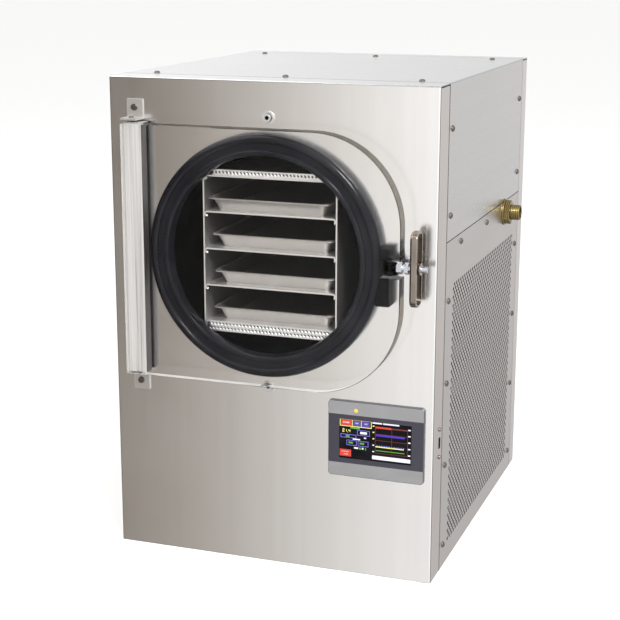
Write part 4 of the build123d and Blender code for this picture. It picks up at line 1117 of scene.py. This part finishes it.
@dataclass
class Rack:
    """Tray rack: plates, shelves, foil mats, rivets and trays; distances in millimetres."""

    finishes: Finishes
    middle_x: float = 2.3
    inner_w: float = 177.0
    front_y: float = -253.5
    shelves: tuple[float, ...] = (372.4, 420.1, 468.0, 516.5)
    plate_t: float = 1.9
    rivet_r: float = 1.7
    rivet_in: float = 3.0
    rivet_drop: float = 4.6

    def build(self) -> None:
        """Dresses the rack and its trays, and sets the rivets."""
        self.rivets()
        self.finishes.dress("rack sheet", "rack_sides", "rack_shelves", "rack_cap")
        self.finishes.dress("foil mat", "rack_shields")
        self.finishes.dress("heating mat", "shelf_heaters")
        self.finishes.dress("tray sheet", "tray_1", "tray_2", "tray_3", "tray_4")

    def rivets(self) -> None:
        """A bright rivet head under each end of each shelf, inside the plates."""
        r = self.rivet_r
        profile = ((0.0, r), (0.9, r * 0.9), (1.5, r * 0.55), (1.7, r * 0.1))
        rivet = Shaping.turned("rivet", Axis.Z, (0, 0, 0), profile, sides=16)
        reach = self.inner_w / 2 - self.plate_t
        y = self.front_y + self.rivet_in
        spots = [
            ((self.middle_x + way * reach, y, z - self.rivet_drop), (-way, 0, 0))
            for way in (-1, 1) for z in self.shelves
        ]
        rivets = Shaping.copies(rivet, "rack_rivets", spots)
        Shaping.soften(rivets, 50)
        Shaping.finish(rivets, "screw_steel", self.finishes["bright screw"])


class Tile(Enum):
    """Colours of the display's fields."""

    RED = (0.62, 0.045, 0.02)
    YELLOW = (0.85, 0.78, 0.25)
    GREEN = (0.09, 0.36, 0.03)
    BLUE = (0.05, 0.02, 0.50)
    PURPLE = (0.09, 0.05, 0.36)
    LILAC = (0.22, 0.19, 0.80)
    WHITE = (0.80, 0.80, 0.90)
    DIM = (0.17, 0.02, 0.015)


@dataclass
class Display:
    """Bezel, screen page and lamp; the page's places are millimetres right of and below its corner."""

    finishes: Finishes
    left: float = 96.5
    top: float = 211.6
    face_y: float = -257.7
    lift: float = 0.15
    sink: float = 0.05

    def build(self) -> None:
        """Dresses the bezel and lays out the page."""
        self.finishes.dress("banded bezel", "display_bezel")
        self.finishes.dress("screen glass", "touch_screen")
        self.finishes.dress("amber lamp", "status_led")
        self.finishes.dress("circuit board", "control_board")
        self.page()

    @staticmethod
    def frame_tiles(u: tuple[float, float], v: tuple[float, float], line: float) -> list[Strip]:
        """The four strips of a hollow frame.

        Args:
            u: its left and right ends.
            v: its top and bottom.
            line: how thick its strips are.

        Returns:
            The strips: left, right, top and bottom of each.
        """
        return [
            (u[0], u[1], v[0], v[0] + line),
            (u[0], u[1], v[1] - line, v[1]),
            (u[0], u[0] + line, v[0] + line, v[1] - line),
            (u[1] - line, u[1], v[0] + line, v[1] - line),
        ]

    @staticmethod
    def figures(text: str, u: float, v: float, wide: float, high: float) -> list[Strip]:
        """Strips of seven-part figures.

        Args:
            text: figures and points.
            u: left end.
            v: top.
            wide: width of one figure.
            high: its height.

        Returns:
            The strips: left, right, top and bottom of each.
        """
        line, middle = 0.75, high / 2
        parts = {
            "a": (0, wide, 0, line), "b": (wide - line, wide, line, middle),
            "c": (wide - line, wide, middle, high - line), "d": (0, wide, high - line, high),
            "e": (0, line, middle, high - line), "f": (0, line, line, middle),
            "g": (0, wide, middle - line / 2, middle + line / 2),
        }
        lit = {"1": "bc", "2": "abged", "4": "fgbc"}
        strips = []
        for letter in text:
            if letter == ".":
                strips.append((u, u + line, v + high - line, v + high))
                u += line + 0.7
                continue
            strips += [(u + a, u + b, v + c, v + d) for a, b, c, d in (parts[k] for k in lit[letter])]
            u += wide + 0.8
        return strips

    def page(self) -> None:
        """Lays the page out as thin lit tiles: tabs, boxes, a button, and a chart with its grid."""
        fields: dict[Tile, list[Strip]] = {tile: [] for tile in Tile}
        fields[Tile.YELLOW] += self.frame_tiles((0.6, 43.2), (0.2, 10.0), 0.9)
        fields[Tile.RED].append((2.4, 16.2, 1.6, 8.6))
        fields[Tile.YELLOW] += [(16.9, 17.7, 1.1, 9.1), (29.0, 29.8, 1.1, 9.1)]
        for u in (18.3, 30.5):
            fields[Tile.PURPLE].append((u, u + 10.0, 1.6, 8.6))
            fields[Tile.WHITE].append((u + 3.2, u + 7.2, 3.8, 5.6))
        fields[Tile.WHITE].append((4.8, 13.6, 3.9, 5.9))
        fields[Tile.GREEN].append((15.0, 27.5, 10.4, 12.6))
        boxes = (
            (24.0, 40.7, 13.6, 20.8), (1.8, 22.8, 20.6, 25.4),
            (9.8, 23.4, 28.2, 35.2), (25.0, 39.0, 28.2, 35.2),
        )
        for left, right, top, bottom in boxes:
            fields[Tile.LILAC] += self.frame_tiles((left, right), (top, bottom), 0.6)
        fields[Tile.WHITE] += [
            (28.0, 37.0, 15.6, 18.6), (18.0, 28.0, 25.6, 27.2), (33.0, 36.0, 22.8, 24.4),
            (20.0, 25.4, 37.0, 39.2), (30.4, 32.6, 36.8, 39.2),
        ]
        fields[Tile.GREEN] += [
            (8.6, 13.6, 21.8, 24.2), (12.4, 18.4, 30.4, 32.6), (27.4, 33.4, 30.4, 32.6),
            (26.8, 29.2, 36.8, 39.8), (34.8, 36.0, 36.8, 39.8),
        ]
        fields[Tile.YELLOW] += self.figures("21.4", 4.2, 13.4, 2.5, 4.6)
        fields[Tile.RED].append((0.6, 16.0, 41.2, 50.4))
        fields[Tile.WHITE] += [(3.4, 12.8, 43.6, 44.6), (6.0, 12.0, 47.0, 48.2)]
        fields[Tile.WHITE] += [(44.3, 57.0, 0.9, 2.7), (58.4, 79.7, 0.9, 2.7)]
        fields[Tile.RED].append((48.0, 69.4, 6.2, 8.6))
        fields[Tile.DIM] += [(69.4, 91.0, 6.6, 8.2)] + [(48.0, 91.0, v, v + 0.5) for v in (16.0, 24.4, 41.4)]
        fields[Tile.DIM] += [(u, u + 0.5, 6.6, 41.6) for u in (48.0, 69.8, 90.6)]
        fields[Tile.BLUE].append((49.0, 87.0, 16.7, 19.0))
        fields[Tile.LILAC] += [(u, u + 1.5, 31.2, 32.4) for u in (50.0 + 3.2 * i for i in range(12))]
        fields[Tile.YELLOW].append((48.4, 86.0, 32.6, 33.9))
        fields[Tile.GREEN].append((49.0, 87.0, 37.9, 38.8))
        for i, v in enumerate((5.3, 13.6, 22.2, 30.8, 39.4)):
            fields[Tile.YELLOW if i < 3 else Tile.WHITE].append((44.6, 46.8, v, v + 1.5))
            fields[Tile.WHITE].append((91.6, 94.8, v + 0.4, v + 2.0))
        fields[Tile.WHITE].append((44.3, 94.9, 45.4, 50.4))
        for tile, places in fields.items():
            self.tiles(tile, places)

    def tiles(self, tile: Tile, places: Sequence[Strip]) -> None:
        """Thin tiles of one colour.

        Args:
            tile: the colour.
            places: left, right, top and bottom of each.
        """
        front, back = self.face_y - self.lift, self.face_y + self.sink
        left, top = self.left, self.top
        made = [
            Shaping.block("tile", (left + u, front, top - v_end), (left + u_end, back, top - v))
            for u, u_end, v, v_end in places
        ]
        page = Shaping.join(made, f"page_{tile.name.lower()}")
        Shaping.finish(page, "screen_glass", self.finishes["lit " + tile.name.lower()])


@dataclass
class Plant:
    """Cooling plant and electrics behind the panels."""

    finishes: Finishes

    def build(self) -> None:
        """Dresses the pieces inside and at the back."""
        self.finishes.dress("black paint", "compressor")
        self.finishes.dress("bare fins", "condenser_coil")
        self.finishes.dress("black moulding", "fan_shroud", "condenser_fan", "usb_port")
        self.finishes.dress("black moulding", "power_inlet", "pump_socket", "power_switch", "switch_rocker")
        self.finishes.dress("plated sheet", "fan_motor", "power_supply")
        self.finishes.dress("red lever", "drain_lever")


@dataclass
class Studio:
    """Pale floor, soft light and the camera; distances in metres."""

    floor_size: float = 60.0
    lit: Point = (0.0, 0.0, 0.3)
    camera_at: Point = (0.66286, -1.96138, 0.79465)
    tilt: float = 76.1995
    heading: float = 19.6016
    roll: float = 0.088
    lens: float = 85.31

    def build(self) -> None:
        """Sets the floor, the light and the camera."""
        self.floor()
        self.light()
        self.camera()
        bpy.context.scene.view_settings.view_transform = "Standard"

    def floor(self) -> None:
        """A plain pale floor."""
        Shaping.clear()
        bpy.ops.mesh.primitive_plane_add(size=self.floor_size, location=(0, 0, -0.0005))
        floor = Shaping.name("floor")
        floor.data.materials.append(self.floor_finish())
        floor.visible_glossy = False

    @staticmethod
    def floor_finish() -> Material:
        """Builds the floor's plain pale material.

        Returns:
            The material.
        """
        coat = Coat("pale floor")
        coat.fixed(Base_Color=(0.78, 0.78, 0.78, 1.0), Roughness=1.0, Specular_IOR_Level=0.0)
        return coat.material

    def light(self) -> None:
        """A bright room that is darker towards the front left, and two soft lights."""
        world = bpy.data.worlds.new("room")
        bpy.context.scene.world = world
        world.use_nodes = True
        nodes = Nodes(world.node_tree)
        way = nodes.add("TexCoord").outputs["Generated"]
        up = nodes.axes(way)["Z"]
        level = nodes.add("VectorMath", operation="MULTIPLY")
        level.inputs[1].default_value = (1.0, 1.0, 0.0)
        nodes.join(way, level.inputs[0])
        unit = nodes.add("VectorMath", operation="NORMALIZE")
        nodes.join(level.outputs[0], unit.inputs[0])

        def lobe(heading: float, wide: float, narrow: float, depth: float) -> Socket:
            """A share that falls from 1 to a depth round a heading.

            Args:
                heading: degrees left of the front.
                wide: degrees from the heading where it starts to fall.
                narrow: degrees from the heading where it is at its depth.
                depth: its least value.

            Returns:
                The share's socket.
            """
            turn = math.radians(heading)
            toward = nodes.add("VectorMath", operation="DOT_PRODUCT")
            toward.inputs[1].default_value = (-math.sin(turn), -math.cos(turn), 0.0)
            nodes.join(unit.outputs[0], toward.inputs[0])
            ends = math.cos(math.radians(wide)), math.cos(math.radians(narrow))
            return nodes.spread(toward.outputs["Value"], *ends, 1.0, depth)

        left = lobe(56.0, 43.0, 25.0, 0.11)
        back = lobe(215.0, 75.0, 30.0, 0.57)
        steep = nodes.spread(up, -0.36, -0.08, 1.12, 1.8)
        gain = nodes.spread(up, -0.36, -0.08, 1.24, 1.5)
        ceiling = nodes.spread(up, 0.35, 0.75, 1.0, 1.3)
        shade = nodes.maths("MULTIPLY", nodes.maths("MULTIPLY", gain, ceiling), back)
        colour = nodes.add("CombineColor")
        for i, warm in enumerate((0.90, 1.0, 1.13)):
            fall = nodes.maths("POWER", left, nodes.maths("MULTIPLY", steep, warm))
            nodes.join(nodes.maths("MULTIPLY", fall, shade), colour.inputs[i])
        nodes.join(colour.outputs[0], world.node_tree.nodes["Background"].inputs["Color"])
        self.lamp("soft light", 2.2, 50.0, (-1.6, -1.4, 2.6))
        self.lamp("small light", 0.6, 70.0, (1.35, -1.75, 2.1))

    def lamp(self, name: str, size: float, energy: float, place: Point) -> None:
        """A round area light that looks at the dryer.

        Args:
            name: its name.
            size: how wide it is.
            energy: its power in watts.
            place: where it hangs.
        """
        lamp = bpy.data.lights.new(name, "AREA")
        lamp.shape = "DISK"
        lamp.size = size
        lamp.energy = energy
        holder = bpy.data.objects.new(name, lamp)
        bpy.context.collection.objects.link(holder)
        holder.location = place
        holder.rotation_euler = (Vector(self.lit) - holder.location).to_track_quat("-Z", "Y").to_euler()

    def camera(self) -> None:
        """The camera."""
        camera = bpy.data.cameras.new("camera")
        camera.lens = self.lens
        camera.sensor_width = 36.0
        holder = bpy.data.objects.new("camera", camera)
        bpy.context.collection.objects.link(holder)
        holder.location = self.camera_at
        turn = Euler((math.radians(self.tilt), 0.0, math.radians(self.heading))).to_matrix()
        holder.rotation_euler = (turn @ Matrix.Rotation(math.radians(self.roll), 3, "Z")).to_euler()
        bpy.context.scene.camera = holder


def all_finishes() -> Finishes:
    """Every finish of the dryer.

    Returns:
        The finishes by name.
    """
    sheet = {"grain": Grain.BACKWARDS, "contrast": 0.03}
    kinds = [
        # the side tones given to the cabinet sheets below are painted shade on their sides
        BrushedSteel(
            "front sheet", grain=Grain.UPRIGHT, line_depth_mm=0.001, contrast=0.015,
            shaded_sides=(0.60, 0.54, 0.51), seam_y=-0.2127,
        ),
        BrushedSteel("top sheet", (0.58, 0.58, 0.59), 0.25, shaded_sides=(0.59, 0.575, 0.565), **sheet),
        BrushedSteel("side sheet", (0.58, 0.56, 0.545), 0.3, shaded_sides=(0.58, 0.56, 0.545), **sheet),
        # this sheet's near-black tint is painted shade on the walls of its holes
        BrushedSteel("lower side sheet", (0.03, 0.03, 0.03), 0.3, shaded_sides=(0.56, 0.52, 0.50), **sheet),
        BrushedSteel("rear sheet", (0.72, 0.70, 0.69), shaded_sides=(0.66, 0.61, 0.585)),
        BrushedSteel("hinge strip", (0.58, 0.56, 0.54), 0.45, Grain.UPRIGHT),
        BrushedSteel("rack sheet", (0.85, 0.84, 0.83), 0.4, Grain.BACKWARDS),
        BrushedSteel("tray sheet", (0.46, 0.44, 0.425), 0.5, Grain.UPRIGHT, contrast=0.3),
        # near-black tint: painted shade for the unlit inside of the cabinet
        BareMetal("plated sheet", (0.03, 0.03, 0.03), 0.4),
        BareMetal("plated screw", (0.18, 0.155, 0.145), 0.3),
        # near-black tint: painted shade for the unlit inside of the chamber
        BareMetal("drawn drum", (0.016, 0.0155, 0.018), 0.35, grain_mm=0.0),
        BareMetal("bare copper", (0.72, 0.40, 0.26), 0.35),
        BareMetal("bare brass", (0.36, 0.28, 0.115), 0.3, thread_mm=2.6),
        BareMetal("bright screw", (0.72, 0.71, 0.70), 0.4, 0.1),
        # the black stretch along Y is painted shade in the bolt head's socket recess
        BareMetal("flange bolt", (0.72, 0.71, 0.70), 0.4, 0.1, black_axis="Y", black_span=(-0.2593, -0.2564)),
        BareMetal("bushing brass", (0.75, 0.48, 0.22), 0.3),
        BareMetal("bright zinc", (0.62, 0.64, 0.70), 0.25),
        BareMetal("swing bolt", (0.62, 0.64, 0.70), 0.25, black_axis="X", black_span=(0.1, 0.1765)),
        BareMetal("polished handle", (0.27, 0.235, 0.205), 0.2, 0.12),
        BareMetal("bare fins", (0.12, 0.12, 0.125), 0.5),
        Moulded("seal rubber", (0.004, 0.004, 0.006), 0.12, 300.0, 0.0, shine=0.14),
        Moulded("black moulding", (0.003, 0.003, 0.0035), 0.4, grain_mm=0.01, shine=0.03),
        Moulded("black paint", (0.012, 0.012, 0.012), 0.3),
        Moulded("jacket foam", (0.03, 0.03, 0.032), 0.8, 200.0, 0.4),
        Moulded("heating mat", (0.05, 0.03, 0.03), 0.6),
        Moulded("circuit board", (0.02, 0.12, 0.05), 0.4),
        Moulded("screen glass", (0.003, 0.003, 0.004), 0.15, 300.0, 0.0, shine=0.06),
        Moulded("amber lamp", (0.62, 0.36, 0.05), 0.3, 300.0, 0.0),
        Moulded("red lever", (0.5, 0.02, 0.02), 0.35),
        ClearAcrylic("clear plate"),
        FrostedAcrylic("frosted bar"),
        Foil("foil mat"),
        BandedBezel("banded bezel"),
    ]
    kinds += [LitField("lit " + tile.name.lower(), tile.value) for tile in Tile]
    return Finishes(kinds)


def main() -> None:
    """Builds the dryer and its studio."""
    logging.basicConfig(level=logging.INFO, format="%(name)s: %(message)s")
    finishes = all_finishes()
    for part in (Cabinet, Chamber, Door, Latch, Rack, Display, Plant):
        log.info("building %s", part.__name__)
        part(finishes).build()
    Studio().build()


if __name__ == "__main__":
    main()
